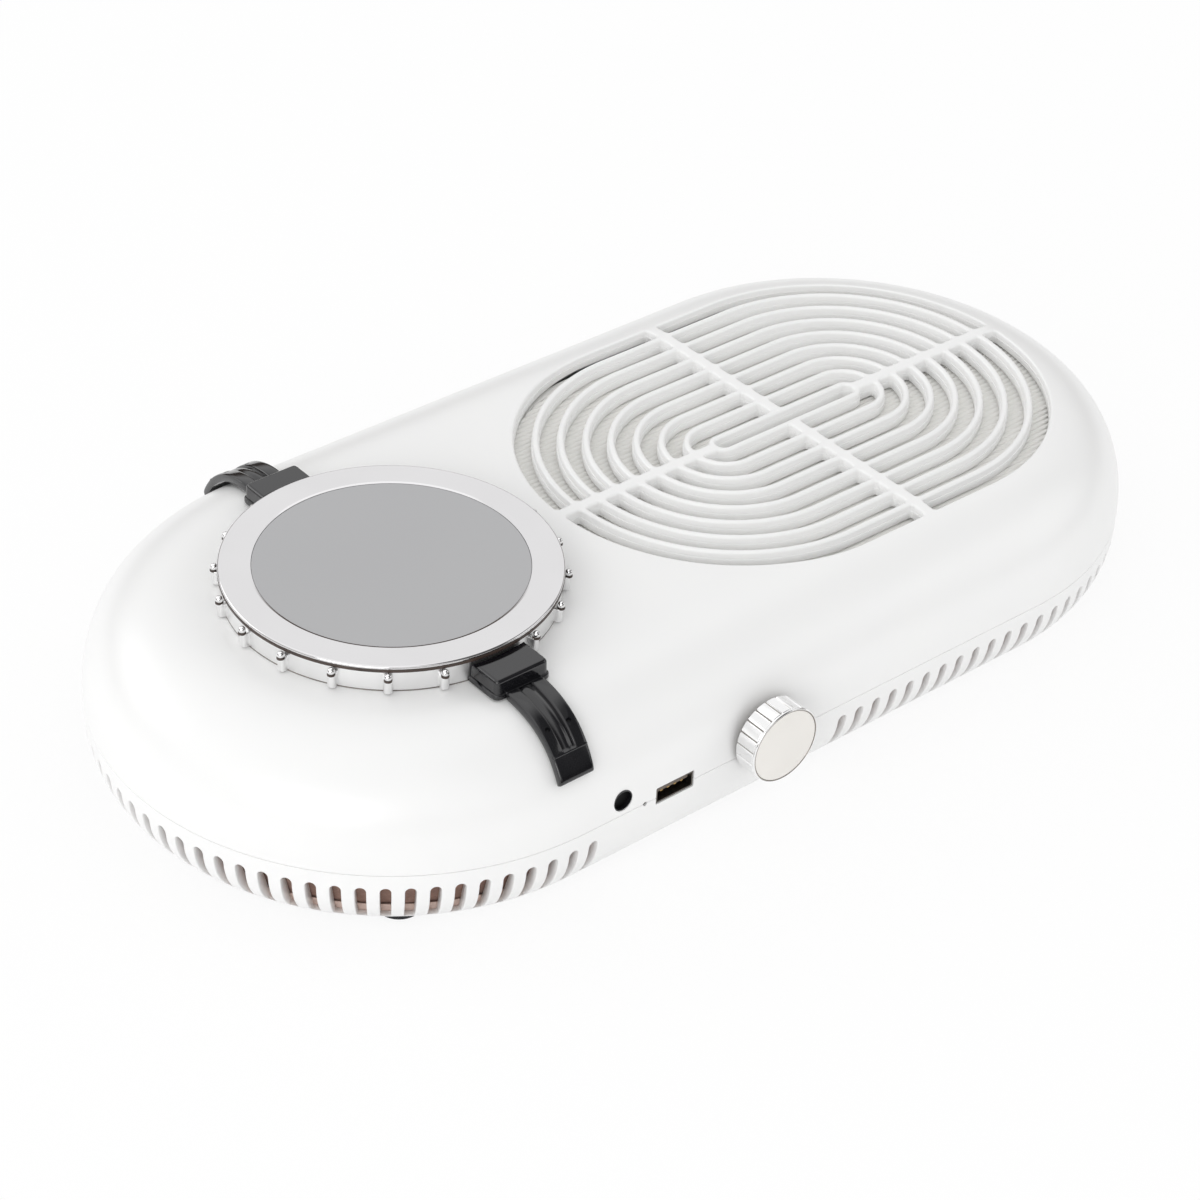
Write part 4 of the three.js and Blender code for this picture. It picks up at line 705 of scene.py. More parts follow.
class Skin:
    """Points in millimetres, before the front shift, and the faces between them. Where fill_z is
    set, what stays open above and below that height is filled."""

    def __init__(self):
        self.points = []
        self.faces = []
        self.fill_z = None

    def row(self, points):
        first = len(self.points)
        self.points.extend(points)
        return list(range(first, len(self.points)))

    def band(self, one, other, closed=True):
        for i in range(len(one) if closed else len(one) - 1):
            j = (i + 1) % len(one)
            self.faces.append((one[i], one[j], other[j], other[i]))

    def cap(self, row):
        self.faces.append(tuple(row))

    def sleeve(self, rings, closed=True):
        """Rows of points, with the faces from each row to the next."""
        rows = [self.row(ring) for ring in rings]
        for one, other in zip(rows, rows[1:]):
            self.band(one, other, closed)
        return rows

    def loft(self, rings, loop=False):
        """Rings joined into a tube that is capped at its ends, or closed on itself."""
        rows = self.sleeve(rings)
        if loop:
            self.band(rows[-1], rows[0])
        else:
            self.cap(rows[0])
            self.cap(rows[-1])
        return self

    def turned(self, profile, x, y, steps, loop=True):
        """Adds a section of [radius, height] points turned about an upright axis."""
        return self.loft([upright(circle(x, y, r, steps), z) for r, z in profile], loop)

    def turned_forward(self, profile, x, z, steps, loop=False):
        """Adds a section of [radius, y] points turned about an axis along Y."""
        return self.loft([facing(circle(x, z, r, steps), y) for r, y in profile], loop)

    def mesh(self):
        """The skin as a welded bmesh in metres."""
        bm = bmesh.new()
        for x, y, z in self.points:
            bm.verts.new((x * METRE, (y + FRONT_SHIFT) * METRE, z * METRE))
        bm.verts.ensure_lookup_table()
        for face in self.faces:
            corners = [bm.verts[i] for i in dict.fromkeys(face)]
            if len(corners) > 2 and bm.faces.get(corners) is None:
                bm.faces.new(corners)
        bmesh.ops.remove_doubles(bm, verts=bm.verts, dist=WELD * METRE)
        if self.fill_z is not None:
            self.fill(bm)
        return bm

    def fill(self, bm):
        middle = self.fill_z * METRE
        edges = [edge for edge in bm.edges if edge.is_boundary]
        high = [edge for edge in edges if edge.verts[0].co.z > middle]
        low = [edge for edge in edges if edge.verts[0].co.z <= middle]
        for level in (high, low):
            bmesh.ops.triangle_fill(bm, use_beauty=True, edges=level, normal=(0, 0, 1))


def make_object(name, skin):
    bm = skin.mesh()
    bmesh.ops.recalc_face_normals(bm, faces=bm.faces)
    data = bpy.data.meshes.new(name)
    bm.to_mesh(data)
    bm.free()
    piece = bpy.data.objects.new(name, data)
    bpy.context.scene.collection.objects.link(piece)
    return piece


def cut(piece, skin):
    """Takes a closed skin out of a piece."""
    tool = make_object("cutter", skin)
    change = piece.modifiers.new("cut", "BOOLEAN")
    change.operation = "DIFFERENCE"
    change.solver = "EXACT"
    change.object = tool
    graph = bpy.context.evaluated_depsgraph_get()
    done = bpy.data.meshes.new_from_object(piece.evaluated_get(graph))
    piece.modifiers.clear()
    piece.data = done
    bpy.data.objects.remove(tool)


def even_normals(piece):
    """Lets the large flat faces set the shading beside their small rounds."""
    change = piece.modifiers.new("normals", "WEIGHTED_NORMAL")
    change.mode = "FACE_AREA"
    change.keep_sharp = True


def make_piece(name, skin, body, slot, finish=None, node=None, sharp=50, even=False, less=None):
    """A piece from a skin, less another skin where one is given. It is smooth but for edges
    sharper than an angle in degrees, rides on a body, and stands for a CAD node if it has one."""
    piece = make_object(name, skin)
    if less:
        cut(piece, less)
    piece.data.polygons.foreach_set("use_smooth", [True] * len(piece.data.polygons))
    piece.data.set_sharp_from_angle(angle=radians(sharp))
    if even:
        even_normals(piece)
    piece.data.materials.clear()
    piece.data.materials.append(finish or FINISHES[slot])
    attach(piece, body)
    if node:
        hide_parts(node)


def node_box(name):
    """A CAD node's lowest and highest corners, in millimetres before the front shift."""
    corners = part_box(name)
    return [(c.x / METRE, c.y / METRE - FRONT_SHIFT, c.z / METRE) for c in corners]


def node_middle(name):
    low, high = node_box(name)
    return (low[0] + high[0]) / 2, (low[1] + high[1]) / 2


# The cover

ARC_TURNS = steps_between(-pi / 2, pi / 2, ARC_STEPS)
LEFT_LENGTH = GRILLE_LEFT_X + END_X
LEFT_STEPS = (*NEAR_STEPS[:-1], *steps_between(NEAR_STEPS[-1], LEFT_LENGTH, FAR_STEPS))
LEFT_SHARES = [step / LEFT_LENGTH for step in LEFT_STEPS]


def shoulder(r, inset=0.0):
    """How high the cover's skin is at a distance from the spine, or its inside, a wall in."""
    out = max(0.0, r - FLAT_RADIUS + inset) / SHOULDER_WIDTH
    if out >= 1:
        return SEAM_Z
    rise = SHOULDER_HEIGHT - inset
    return SEAM_Z + rise * (1 - out**SHOULDER_POWER) ** (1 / SHOULDER_POWER)


def skin_z(x, y, inset=0.0):
    return shoulder(hypot(max(0.0, abs(x) - END_X), y), inset)


def body_stations():
    """Where the rows across the skin stand: an end's centre, and the direction outward."""
    right = [(END_X, cos(turn), sin(turn)) for turn in ARC_TURNS]
    left = [(-END_X, -cos(turn), sin(turn)) for turn in reversed(ARC_TURNS)]
    xs = steps_between(GRILLE_RIGHT_X, GRILLE_LEFT_X, GRILLE_STEPS)[1:]
    xs += [-END_X + LEFT_LENGTH * share for share in LEFT_SHARES[-2:0:-1]]
    rear = [(x, 0.0, 1.0) for x in xs]
    front = [(x, 0.0, -1.0) for x in reversed(xs)]
    return right + rear + left + front


def shoulder_profile(inner, inset, count, lowest):
    """[radius, height] points of the skin from a radius out to the edge."""
    flat = FLAT_RADIUS - inset
    rise = SHOULDER_HEIGHT - inset
    share = ((inner - flat) / SHOULDER_WIDTH) ** (SHOULDER_POWER / 2)
    first = acos(share)
    points = []
    for k in range(count + 1):
        angle = first * (1 - k / count)
        r = flat + SHOULDER_WIDTH * cos(angle) ** (2 / SHOULDER_POWER)
        z = SEAM_Z + rise * sin(angle) ** (2 / SHOULDER_POWER)
        if z > lowest:
            points.append((r, z))
    return points


def left_field(skin, radius, inset):
    """The nearly flat skin between the left end and the opening's left end."""
    rows = []
    for turn in ARC_TURNS:
        y = radius * sin(turn)
        start = -END_X - radius * cos(turn)
        xs = [start + LEFT_LENGTH * share for share in LEFT_SHARES]
        rows.append([(x, y, skin_z(x, y, inset)) for x in xs])
    skin.sleeve(rows, closed=False)


def opening_loop(radius, arc_steps=ARC_STEPS, side_steps=GRILLE_STEPS):
    """A stadium about the grille, anticlockwise."""
    side = steps_between(GRILLE_RIGHT_X, GRILLE_LEFT_X, side_steps)[1:-1]
    turns = steps_between(-pi / 2, pi / 2, arc_steps)
    end = [(radius * cos(turn), radius * sin(turn)) for turn in turns]
    loop = [(GRILLE_RIGHT_X + x, y) for x, y in end]
    loop += [(x, radius) for x in side]
    loop += [(GRILLE_LEFT_X - x, y) for x, y in reversed(end)]
    loop += [(x, -radius) for x in reversed(side)]
    return loop


def trimmed(path, trim):
    """A path without a length at each end."""
    lengths = [0.0]
    for one, other in zip(path, path[1:]):
        lengths.append(lengths[-1] + dist(one, other))

    def at(length):
        i = next(i for i, reached in enumerate(lengths) if reached >= length)
        share = (length - lengths[i - 1]) / (lengths[i] - lengths[i - 1])
        return tuple(a + (b - a) * share for a, b in zip(path[i - 1], path[i]))

    last = lengths[-1] - trim
    low, high = trim + CORNER_CLEARANCE, last - CORNER_CLEARANCE
    return [at(trim), *(p for p, s in zip(path, lengths) if low < s < high), at(last)]


def joined_paths(paths):
    """Paths end to end as one closed outline, with a round where each meets the next."""
    outline = []
    pieces = [trimmed(path, CELL_CORNER) for path in paths]
    for path, piece, after in zip(paths, pieces, pieces[1:] + pieces[:1]):
        outline += piece
        outline += [bend(piece[-1], path[-1], after[0], share) for share in (0.25, 0.5, 0.75)]
    return outline


def quarter_path(radius):
    """A quarter of a loop about the grille's middle, from the cross bar to the long bar."""
    side = BAR_WIDTH / 2
    count = max(LEAST_ARC_STEPS, round(radius / ARC_STEP))
    path = [(x, radius) for x in steps_between(side, GRILLE_HALF, BAR_STEPS)[:-1]]
    for turn in steps_between(pi / 2, asin(side / radius), count):
        path.append((GRILLE_HALF + radius * cos(turn), radius * sin(turn)))
    return path


def quarter_cell(outer, inner):
    """The opening between two loops in the quarter at +X +Y, anticlockwise."""
    far, near = quarter_path(outer), quarter_path(inner)
    steps = max(2, round((outer - inner) / SIDE_STEP))
    side = line(far[-1], near[-1], steps)
    back = line(near[0], far[0], steps)
    return joined_paths([far, side, near[::-1], back])[::-1]


def cell_outlines():
    """The openings of the grille, each an outline that runs anticlockwise."""
    outlines = []
    outer = OPENING_RADIUS
    loop = OPENING_RADIUS + RIB_WIDTH / 2 - RIB_PITCH
    while loop >= LEAST_LOOP:
        quarter = quarter_cell(outer, loop + RIB_WIDTH / 2)
        for sx, sy in ((1, 1), (1, -1), (-1, 1), (-1, -1)):
            cell = [(GRILLE_X + sx * x, sy * y) for x, y in quarter]
            outlines.append(cell if sx == sy else cell[::-1])
        outer = loop - RIB_WIDTH / 2
        loop -= RIB_PITCH
    outlines.append(opening_loop(outer, *MIDDLE_CELL_STEPS))
    return outlines


def rib_section():
    """How far from an opening's wall, and how far down, the rib's skin runs."""
    low, share = RIB_LOW_ROUND, RIB_LOW_SHARE
    section = [(RIB_ROUND + RIB_SUPPORT, 0.0)]
    for angle in steps_between(0, pi / 2, 5):
        away = RIB_ROUND * (1 - sin(angle))
        section.append((away, RIB_ROUND_DROP * (1 - cos(angle))))
    section += steps_from(0.0, RIB_LEDGE_DROP, RIB_LEDGE_TOP)
    section += steps_from(-RIB_LEDGE, RIB_LEDGE_DROP, RIB_LEDGE_EDGE)
    under = ((0.0, -low), (low * share, -low * share), (low, 0.0))
    section += steps_from(-RIB_LEDGE, RIB_DEPTH, under)
    section.append((low + RIB_SUPPORT, RIB_DEPTH))
    return section


def grille_walls(skin):
    low = TOP_Z - RIB_DEPTH
    section = rib_section()
    for outline in cell_outlines():
        rings = []
        for away, drop in section:
            ring = []
            for x, y in grown(outline, away):
                top = skin_z(x, y)
                ring.append((x, y, top - drop * (top - low) / RIB_DEPTH))
            rings.append(ring)
        skin.sleeve(rings)


def cover_skin():
    skin = Skin()
    skin.fill_z = TOP_Z - FILL_SPLIT_DROP
    edge = SEAM_Z + SEAM_HALF_GAP
    inner = HALF_WIDTH - WALL
    foot = [(HALF_WIDTH, edge + EDGE_START), (HALF_WIDTH, edge), (HALF_WIDTH - COVER_FOOT, edge)]
    profile = shoulder_profile(RIM_SUPPORT_RADIUS, 0, 30, edge + 2 * EDGE_ROUND)
    profile += soften(foot, EDGE_ROUND, closed=False)
    profile += [(inner + INNER_EDGE, edge), (inner, edge + INNER_EDGE)]
    profile += reversed(shoulder_profile(SKIRT_RADIUS, WALL, 18, edge + EDGE_ROUND))
    stations = body_stations()
    skin.sleeve([[(cx + r * dx, r * dy, z) for cx, dx, dy in stations] for r, z in profile])
    left_field(skin, RIM_SUPPORT_RADIUS, 0)
    left_field(skin, SKIRT_RADIUS, WALL)
    grille_walls(skin)
    loop = opening_loop(SKIRT_RADIUS)
    skirt_top = [(x, y, skin_z(x, y, WALL)) for x, y in loop]
    skin.sleeve([skirt_top, upright(loop, TOP_Z - RIB_DEPTH)])
    return skin


def port_cutter():
    """What the ports take out of the front wall."""
    skin = Skin().turned_forward([(DC_HOLE, y) for y in CUT_Y], DC_X, DC_Z, 48)
    skin.turned_forward([(LED_HOLE, y) for y in CUT_Y], LED_X, SEAM_Z, 24)
    return skin.loft([facing(soften(USB_HOLE, USB_CORNER), y) for y in CUT_Y])


def make_cover():
    notch = [(KNOB_X - BUSH_HOLE, BUSH_NOTCH_Z), (KNOB_X + BUSH_HOLE, BUSH_NOTCH_Z)]
    for turn in steps_between(0, pi, 20):
        notch.append((KNOB_X + BUSH_HOLE * cos(turn), KNOB_Z + BUSH_HOLE * sin(turn)))
    holes = port_cutter().loft([facing(notch, y) for y in CUT_Y])
    options = {"node": "upper_shell", "sharp": 40, "less": holes}
    make_piece("cover_shell", cover_skin(), "cover", "body_white", **options)


# The base

HALF_TURN = pi * HALF_WIDTH
OUTLINE_LENGTH = 4 * END_X + 2 * HALF_TURN
COLUMN_COUNT = round((OUTLINE_LENGTH - PANEL_LENGTH) / SLOT_PITCH)
COLUMN_STEP = (OUTLINE_LENGTH - PANEL_LENGTH) / COLUMN_COUNT
COLUMN_START = PANEL_LEFT_X + PANEL_LENGTH
COLUMN_MIDDLES = [COLUMN_START + COLUMN_STEP * (i + 0.5) for i in range(COLUMN_COUNT)]


def band_radius(z):
    drop = BAND_ROUND_TOP - z
    if drop <= 0:
        return HALF_WIDTH
    return HALF_WIDTH - BAND_ROUND + sqrt(BAND_ROUND**2 - drop**2)


def inner_radius(z):
    corner_r, corner_z = INNER_CORNER
    top = HALF_WIDTH - WALL
    if z >= SLOT_TOP_Z:
        return top
    if z < corner_z:
        return corner_r - (corner_z - z)
    return corner_r + (top - corner_r) * (z - corner_z) / (SLOT_TOP_Z - corner_z)


def band_point(along, r, z):
    """A point of the band: how far along the outline from the front middle, anticlockwise."""
    s = along % OUTLINE_LENGTH
    rear = END_X + HALF_TURN
    left = rear + 2 * END_X
    front = left + HALF_TURN
    if s <= END_X:
        return (s, -r, z)
    if s <= rear:
        angle = (s - END_X) / HALF_WIDTH
        return (END_X + r * sin(angle), -r * cos(angle), z)
    if s <= left:
        return (END_X - (s - rear), r, z)
    if s <= front:
        angle = (s - left) / HALF_WIDTH
        return (-END_X - r * sin(angle), r * cos(angle), z)
    return (-END_X + (s - front), -r, z)


def slot_grid():
    """The slot's outline and, point for point, the box round it, as [along, height] pairs."""
    half = SLOT_WIDTH / 2
    edge = COLUMN_STEP / 2
    arc_z = SLOT_TOP_Z - half
    inset, rise = SLOT_CORNER
    left = [((-half, SLOT_LOW_Z + SLOT_SIDE_RISE), (-edge, GRID_SIDE_Z))]
    left += [((-half, z), (-edge, z)) for z in SIDE_LEVELS]
    left.append(((-half, arc_z), (-edge, GRID_ARC_Z)))
    top = []
    for turn, share in zip(steps_between(pi, 0, len(TOP_SHARES) + 1)[1:], TOP_SHARES):
        arc = (half * cos(turn), arc_z + half * sin(turn))
        top.append((arc, (share * edge, GRID_TOP_Z)))
    right = [((-sx, sz), (-bx, bz)) for (sx, sz), (bx, bz) in reversed(left)]
    foot = [((half - inset, SLOT_LOW_Z + rise), (edge, GRID_LOW_Z))]
    foot += [((s * half, SLOT_LOW_Z), (s * edge, GRID_LOW_Z)) for s in LOW_SHARES[:0:-1]]
    foot.append(((inset - half, SLOT_LOW_Z + rise), (-edge, GRID_LOW_Z)))
    return zip(*left, *top, *right, *foot)


SLOT_OUTLINE, SLOT_BOX = slot_grid()


def slot_column(skin, middle):
    """One slot with its round edge, its walls, and the band round it, inside and out."""
    clockwise = SLOT_OUTLINE[::-1]
    normals = outline_normals(clockwise)[::-1]

    def moved(away):
        return [(s + n.x * away, z + n.y * away) for (s, z), n in zip(SLOT_OUTLINE, normals)]

    def outside(points, depth):
        return [band_point(middle + s, band_radius(z) - depth, z) for s, z in points]

    def inside(points, depth):
        return [band_point(middle + s, inner_radius(z) + depth, z) for s, z in points]

    rings = [outside(SLOT_BOX, 0), outside(moved(SLOT_EDGE_ROUND + SLOT_SUPPORT), 0)]
    for away, depth in SLOT_EDGE_SHARES:
        rings.append(outside(moved(SLOT_EDGE_ROUND * away), SLOT_EDGE_ROUND * depth))
    inner_box = [(s, max(z, INNER_LOW_Z)) for s, z in SLOT_BOX]
    rings += [inside(moved(0), INNER_EDGE), inside(moved(INNER_EDGE), 0), inside(inner_box, 0)]
    skin.sleeve(rings)


def plain_column(skin, start, end):
    """A plain stretch of the band, inside and out."""
    levels = (GRID_LOW_Z, GRID_SIDE_Z, *SIDE_LEVELS, GRID_ARC_Z, GRID_TOP_Z)
    for radius, lowest in ((band_radius, 0), (inner_radius, INNER_LOW_Z)):
        heights = [max(level, lowest) for level in levels]
        rows = [[band_point(s, radius(z), z) for s in (start, end)] for z in heights]
        skin.sleeve(rows, closed=False)


def tray_stations():
    """Places along the outline: along the slots' top, along their foot, and the panel's edges."""
    half = COLUMN_STEP / 2
    high = [middle + share * half for middle in COLUMN_MIDDLES for share in TOP_SHARES[:-1]]
    low = [middle + share * half for middle in COLUMN_MIDDLES for share in LOW_SHARES]
    panel = steps_between(PANEL_LEFT_X, COLUMN_START, PANEL_STEPS)
    return high + panel[:-1], low + panel[:-1], panel


def tray_skin():
    skin = Skin()
    high, low, panel = tray_stations()
    for middle in COLUMN_MIDDLES:
        slot_column(skin, middle)
    for start, end in zip(panel, panel[1:]):
        plain_column(skin, start, end)
    rim = SEAM_Z - SEAM_HALF_GAP
    inner = HALF_WIDTH - WALL
    edge = [(HALF_WIDTH, rim - RIM_START), (HALF_WIDTH, rim), (inner, rim), (inner, GRID_TOP_Z)]
    top = [(band_radius(GRID_TOP_Z), GRID_TOP_Z), (HALF_WIDTH, rim - EDGE_START)]
    top += soften(edge, EDGE_ROUND, closed=False)
    skin.sleeve([[band_point(s, r, z) for s in high] for r, z in top])
    bottom = [(band_radius(z), z) for z in BASE_LEVELS]
    bottom += steps_from(band_radius(BASE_Z), BASE_Z, BASE_EDGE)
    floor = steps_from(inner_radius(INNER_LOW_Z), FLOOR_Z, FLOOR_EDGE)
    for profile in (bottom, floor):
        rows = skin.sleeve([[band_point(s, r, z) for s in low] for r, z in profile])
        skin.cap(rows[-1])
    return skin


def make_tray():
    options = {"node": "lower_shell", "less": port_cutter()}
    make_piece("base_tray", tray_skin(), "base", "body_white", **options)


def make_posts():
    """The posts of the base that carry the deck and the board."""
    board_top = node_box("main_board")[0][2] - BOARD_POST_GAP
    deck = ("deck_screw", DECK_POST_RADIUS, DECK_POST_TOP_Z)
    skin = Skin()
    for screw, radius, top in (deck, ("board_screw", BOARD_POST_RADIUS, board_top)):
        profile = steps_from(radius, FLOOR_Z, POST_FOOT) + steps_from(radius, top, POST_HEAD)
        profile += steps_from(POST_BORE, top, POST_BORE_EDGE) + [(POST_BORE, POST_LOW_Z)]
        for i in range(1, 5):
            skin.turned(profile, *node_middle(f"{screw}_{i}"), 32)
    make_piece("base_posts", skin, "base", "body_white", sharp=40, even=True)


def make_sill_band():
    """A band along the foot of the felt, which shows low in every slot; its pale colour is painted
    light that lightens the foot of each slot.
    """
    low_z, high_z = SILL_BAND_Z
    low_r = inner_radius(GRID_SIDE_Z) - SILL_BAND_INSET
    high_r = inner_radius(high_z) - SILL_BAND_INSET
    thick = SILL_BAND_THICKNESS
    section = [(low_r, low_z), (low_r + thick, low_z), (high_r + thick, high_z), (high_r, high_z)]
    rings = [[band_point(s, r, z) for r, z in section] for s in tray_stations()[1]]
    make_piece("slot_sill_band", Skin().loft(rings, loop=True), "base", "brown_felt", PAINTED_LIGHT_FELT)


def make_lip():
    """The lip inside the cover's edge, which reaches into the base but for the front panel."""
    section = soften(LIP_SECTION, EDGE_ROUND, 2)
    start = COLUMN_START + LIP_PANEL_GAP
    end = PANEL_LEFT_X + OUTLINE_LENGTH - LIP_PANEL_GAP
    stations = [s for s in tray_stations()[1] if start < s < end]
    rings = [[band_point(s, r, z) for r, z in section] for s in stations]
    make_piece("cover_lip", Skin().loft(rings), "cover", "body_white")


# The display module


def make_case_ring():
    skin = Skin().turned(soften(rectangle(*CASE_WALL), CASE_WALL_EDGE), DISPLAY_X, 0, 192)
    skin.turned(soften(rectangle(*CASE_PLATE), CASE_PLATE_EDGE, 2), DISPLAY_X, 0, 96)
    options = {"node": "case_ring", "sharp": 45, "even": True}
    make_piece("display_case", skin, "cover", "bright_trim", CASE_PLATING, **options)


def rib_turns():
    """The turns of the ribs about the display, which has none where the lugs are."""
    half = CASE_RIBS // 2
    places = [i for i in range(CASE_RIBS) if i % half != half // 2]
    return [2 * pi * i / CASE_RIBS + radians(CASE_RIB_TURN) for i in places]


def placed_round(ring, turn):
    """Points of a piece drawn at the display's +X side, turned about its middle."""
    c, s = cos(turn), sin(turn)
    return [(DISPLAY_X + x * c - y * s, x * s + y * c, z) for x, y, z in ring]


def make_case_ribs():
    skin = Skin()
    rings = box_rings(*CASE_RIB, *CASE_RIB_ROUNDS)
    for turn in rib_turns():
        skin.loft([placed_round(ring, turn) for ring in rings])
    make_piece("case_ribs", skin, "cover", "bright_trim", CASE_PLATING, even=True)


def on_ribs(profile, loop):
    """A round piece on the top of each rib."""
    skin = Skin()
    for turn in rib_turns():
        x = DISPLAY_X + STUD_PLACE_RADIUS * cos(turn)
        skin.turned(profile, x, STUD_PLACE_RADIUS * sin(turn), 24, loop)
    return skin


def make_case_studs():
    """A round stud on each rib, on a seat whose dark colour is painted shade: it shows as a thin
    dark line round the stud's foot.
    """
    stud = []
    for k in range(STUD_STEPS):
        angle = pi * (k / STUD_STEPS - STUD_FOOT_SHARE)
        stud.append((STUD_RADIUS * cos(angle), STUD_Z + STUD_RADIUS * sin(angle)))
    stud.append((STUD_AXIS, STUD_Z + STUD_RADIUS))
    make_piece("case_studs", on_ribs(stud, loop=False), "cover", "bright_trim")
    # Painted shade: the dark seats outline the studs' feet
    make_piece("stud_shade_seats", on_ribs(STUD_SHADE_SEAT, loop=True), "cover", "black_gloss", BROWN_PAINTED_SHADE)


def make_case_shade_ring():
    """A thin grey ring where the case meets the cover; its colour is painted shade that darkens the
    line at the case's foot.
    """
    skin = Skin().turned(rectangle(*CASE_SHADE_RING), DISPLAY_X, 0, 192)
    make_piece("case_shade_ring", skin, "cover", "black_gloss", GREY_PAINTED_SHADE)


def make_bezel():
    rim = (BEZEL_TOP_Z - BEZEL_LOW_Z) / 2
    profile = [(BEZEL_INNER, BEZEL_LOW_Z)]
    for k in range(BEZEL_STEPS + 1):
        angle = pi * (k / BEZEL_STEPS - 0.5)
        across = BEZEL_RADIUS - rim * (1 - cos(angle))
        profile.append((across, BEZEL_LOW_Z + rim * (1 + sin(angle))))
    profile += [(BEZEL_RADIUS - rim - BEZEL_FLAT_INSET, BEZEL_TOP_Z), *BEZEL_LIP]
    skin = Skin().turned(profile, DISPLAY_X, 0, 256)
    options = {"node": "bezel_ring", "even": True}
    make_piece("bezel", skin, "cover", "bright_trim", BEZEL_PLATING, **options)


def make_bezel_shade_ring():
    """A dark ring between the bezel and the case; its dark colour is painted shade that shows as a
    line under the bezel.
    """
    skin = Skin().turned(soften(BEZEL_SHADE_RING, BEZEL_SHADE_RING_EDGE), DISPLAY_X, 0, 192)
    make_piece("bezel_shade_ring", skin, "cover", "black_gloss", BROWN_PAINTED_SHADE)


def make_window():
    skin = Skin().turned(WINDOW_LOW + WINDOW_TOP, DISPLAY_X, 0, 192, loop=False)
    make_piece("window", skin, "cover", "grey_window", node="display_window", even=True)


def mirrored(rings, side):
    """Rings drawn towards +Y, placed at the front where side is 1, or at the rear."""
    return [[(x, -side * y, z) for x, y, z in ring] for ring in rings]


def lug_outline():
    """A lug in plan, about the display's middle, drawn towards +Y."""
    half = LUG_WIDTH / 2
    inner = [(x, sqrt(LUG_INNER**2 - x**2)) for x in steps_between(half, -half, 8)]
    outer = soften([inner[0], (half, LUG_OUTER), (-half, LUG_OUTER), inner[-1]], LUG_CORNER, 6)
    return [(x, y) for x, y in outer if y > LUG_SIDE_Y] + inner[::-1]


def make_lug(side, name, node):
    outline = [(DISPLAY_X + x, y) for x, y in lug_outline()]
    levels = [*LUG_SIDE, *quarter_round(-LUG_WAIST, LUG_TOP_Z, LUG_ROUND, LUG_ROUND, 7)]
    skin = Skin().loft(mirrored([upright(grown(outline, out), z) for out, z in levels], side))
    section = facing(LUG_STEP_LOW + LUG_STEP_TOP, 0)
    turns = steps_between(*map(radians, LUG_STEP_TURNS), 36)
    step = Skin().loft(mirrored([placed_round(section, turn) for turn in turns], side))
    make_piece(name, skin, "cover", "black_gloss", node=node, even=True, less=step)


def strap_section(groove, land):
    """The strap across its width: [x, height] points. groove is how deep the channel is, from 0
    to 1, and land lowers the whole top."""
    deep = STRAP_CHANNEL * groove
    top = STRAP_THICKNESS - land
    half = STRAP_WIDTH / 2
    wall_x, wall_share = CHANNEL_WALL
    right = steps_from(half, 0, STRAP_SIDE) + steps_from(half, top, STRAP_EDGE)
    right += [(x, top - drop * groove) for x, drop in STRAP_RIM]
    right.append((wall_x, top - wall_share * deep))
    right += [(x, top - deep + rise * groove) for x, rise in STRAP_BED]
    return right + [(-x, z) for x, z in reversed(right)]


def strap_stations():
    """Along the strap: the distance from the axis, the channel's depth and the top's drop."""
    along = steps_between(STRAP_START, STRAP_END - CHANNEL_STOP, STRAP_STEPS)
    tip = [(STRAP_END - before, groove, land) for before, groove, land in STRAP_TIP]
    return [(y, 1.0, 0.0) for y in along] + tip


def strap_lift(y, height):
    """A point above the shoulder, square to it: how far out and how high."""
    rise = (shoulder(y + SLOPE_STEP) - shoulder(y - SLOPE_STEP)) / (2 * SLOPE_STEP)
    length = hypot(1, rise)
    return (y - height * rise / length, shoulder(y) + height / length)


def strap_rings(bow, lean):
    rings = []
    for y, groove, land in strap_stations():
        share = (y - STRAP_START) / (STRAP_END - STRAP_START)
        lift = STRAP_LIFT + bow * sin(pi * share)
        width = 1 - STRAP_TAPER * share**2
        ring = []
        for x, height in strap_section(groove, land):
            out, up = strap_lift(y, lift + height)
            ring.append((DISPLAY_X + x * width - lean * share**3, out, up))
        rings.append(ring)
    return rings


def pit_rings(x, bow):
    """A pit in the strap's top, square to it."""
    lift = STRAP_LIFT + STRAP_THICKNESS + bow
    top = Vector((0, *strap_lift(PIT_Y, lift)))
    upward = (top - Vector((0, *strap_lift(PIT_Y, lift - 1)))).normalized()
    along = Vector((1, 0, 0)).cross(upward)
    rings = []
    for height, radius in PIT_LEVELS:
        ring = []
        for across, out in circle(0, 0, radius, PIT_STEPS):
            place = top + along * (PIT_FLATTENING * out) + upward * height
            ring.append((DISPLAY_X + x + across, place.y, place.z))
        rings.append(ring)
    return rings


def make_strap(side, name, node):
    bow, lean = (0.0, STRAP_LEAN) if side > 0 else (REAR_BOW, 0.0)
    skin = Skin().loft(mirrored(strap_rings(bow, lean), side))
    skin.loft(mirrored(box_rings(*TONGUE, *TONGUE_ROUNDS), side))
    pits = Skin()
    for x in PIT_PLACES:
        pits.loft(mirrored(pit_rings(x, bow), side))
    make_piece(name, skin, "cover", "black_gloss", node=node, sharp=38, less=pits)


# Front panel pieces


def knob_outline(out):
    """The knob's outline, moved outward: wide lands with narrower hollows between them."""
    outline = []
    for k in range(KNOB_STEPS):
        turn = 2 * pi * k / KNOB_STEPS
        away = abs((turn * KNOB_FLUTES / (2 * pi)) % 1.0 - 0.5) * 2
        edge = min(1.0, max(0.0, (FLUTE_HALF_SHARE - away) / FLUTE_EDGE_SHARE))
        smooth = edge * edge * (3 - 2 * edge)
        r = KNOB_RADIUS - KNOB_FLUTE_DEPTH * smooth + out
        outline.append((KNOB_X + r * cos(turn), KNOB_Z + r * sin(turn)))
    return outline


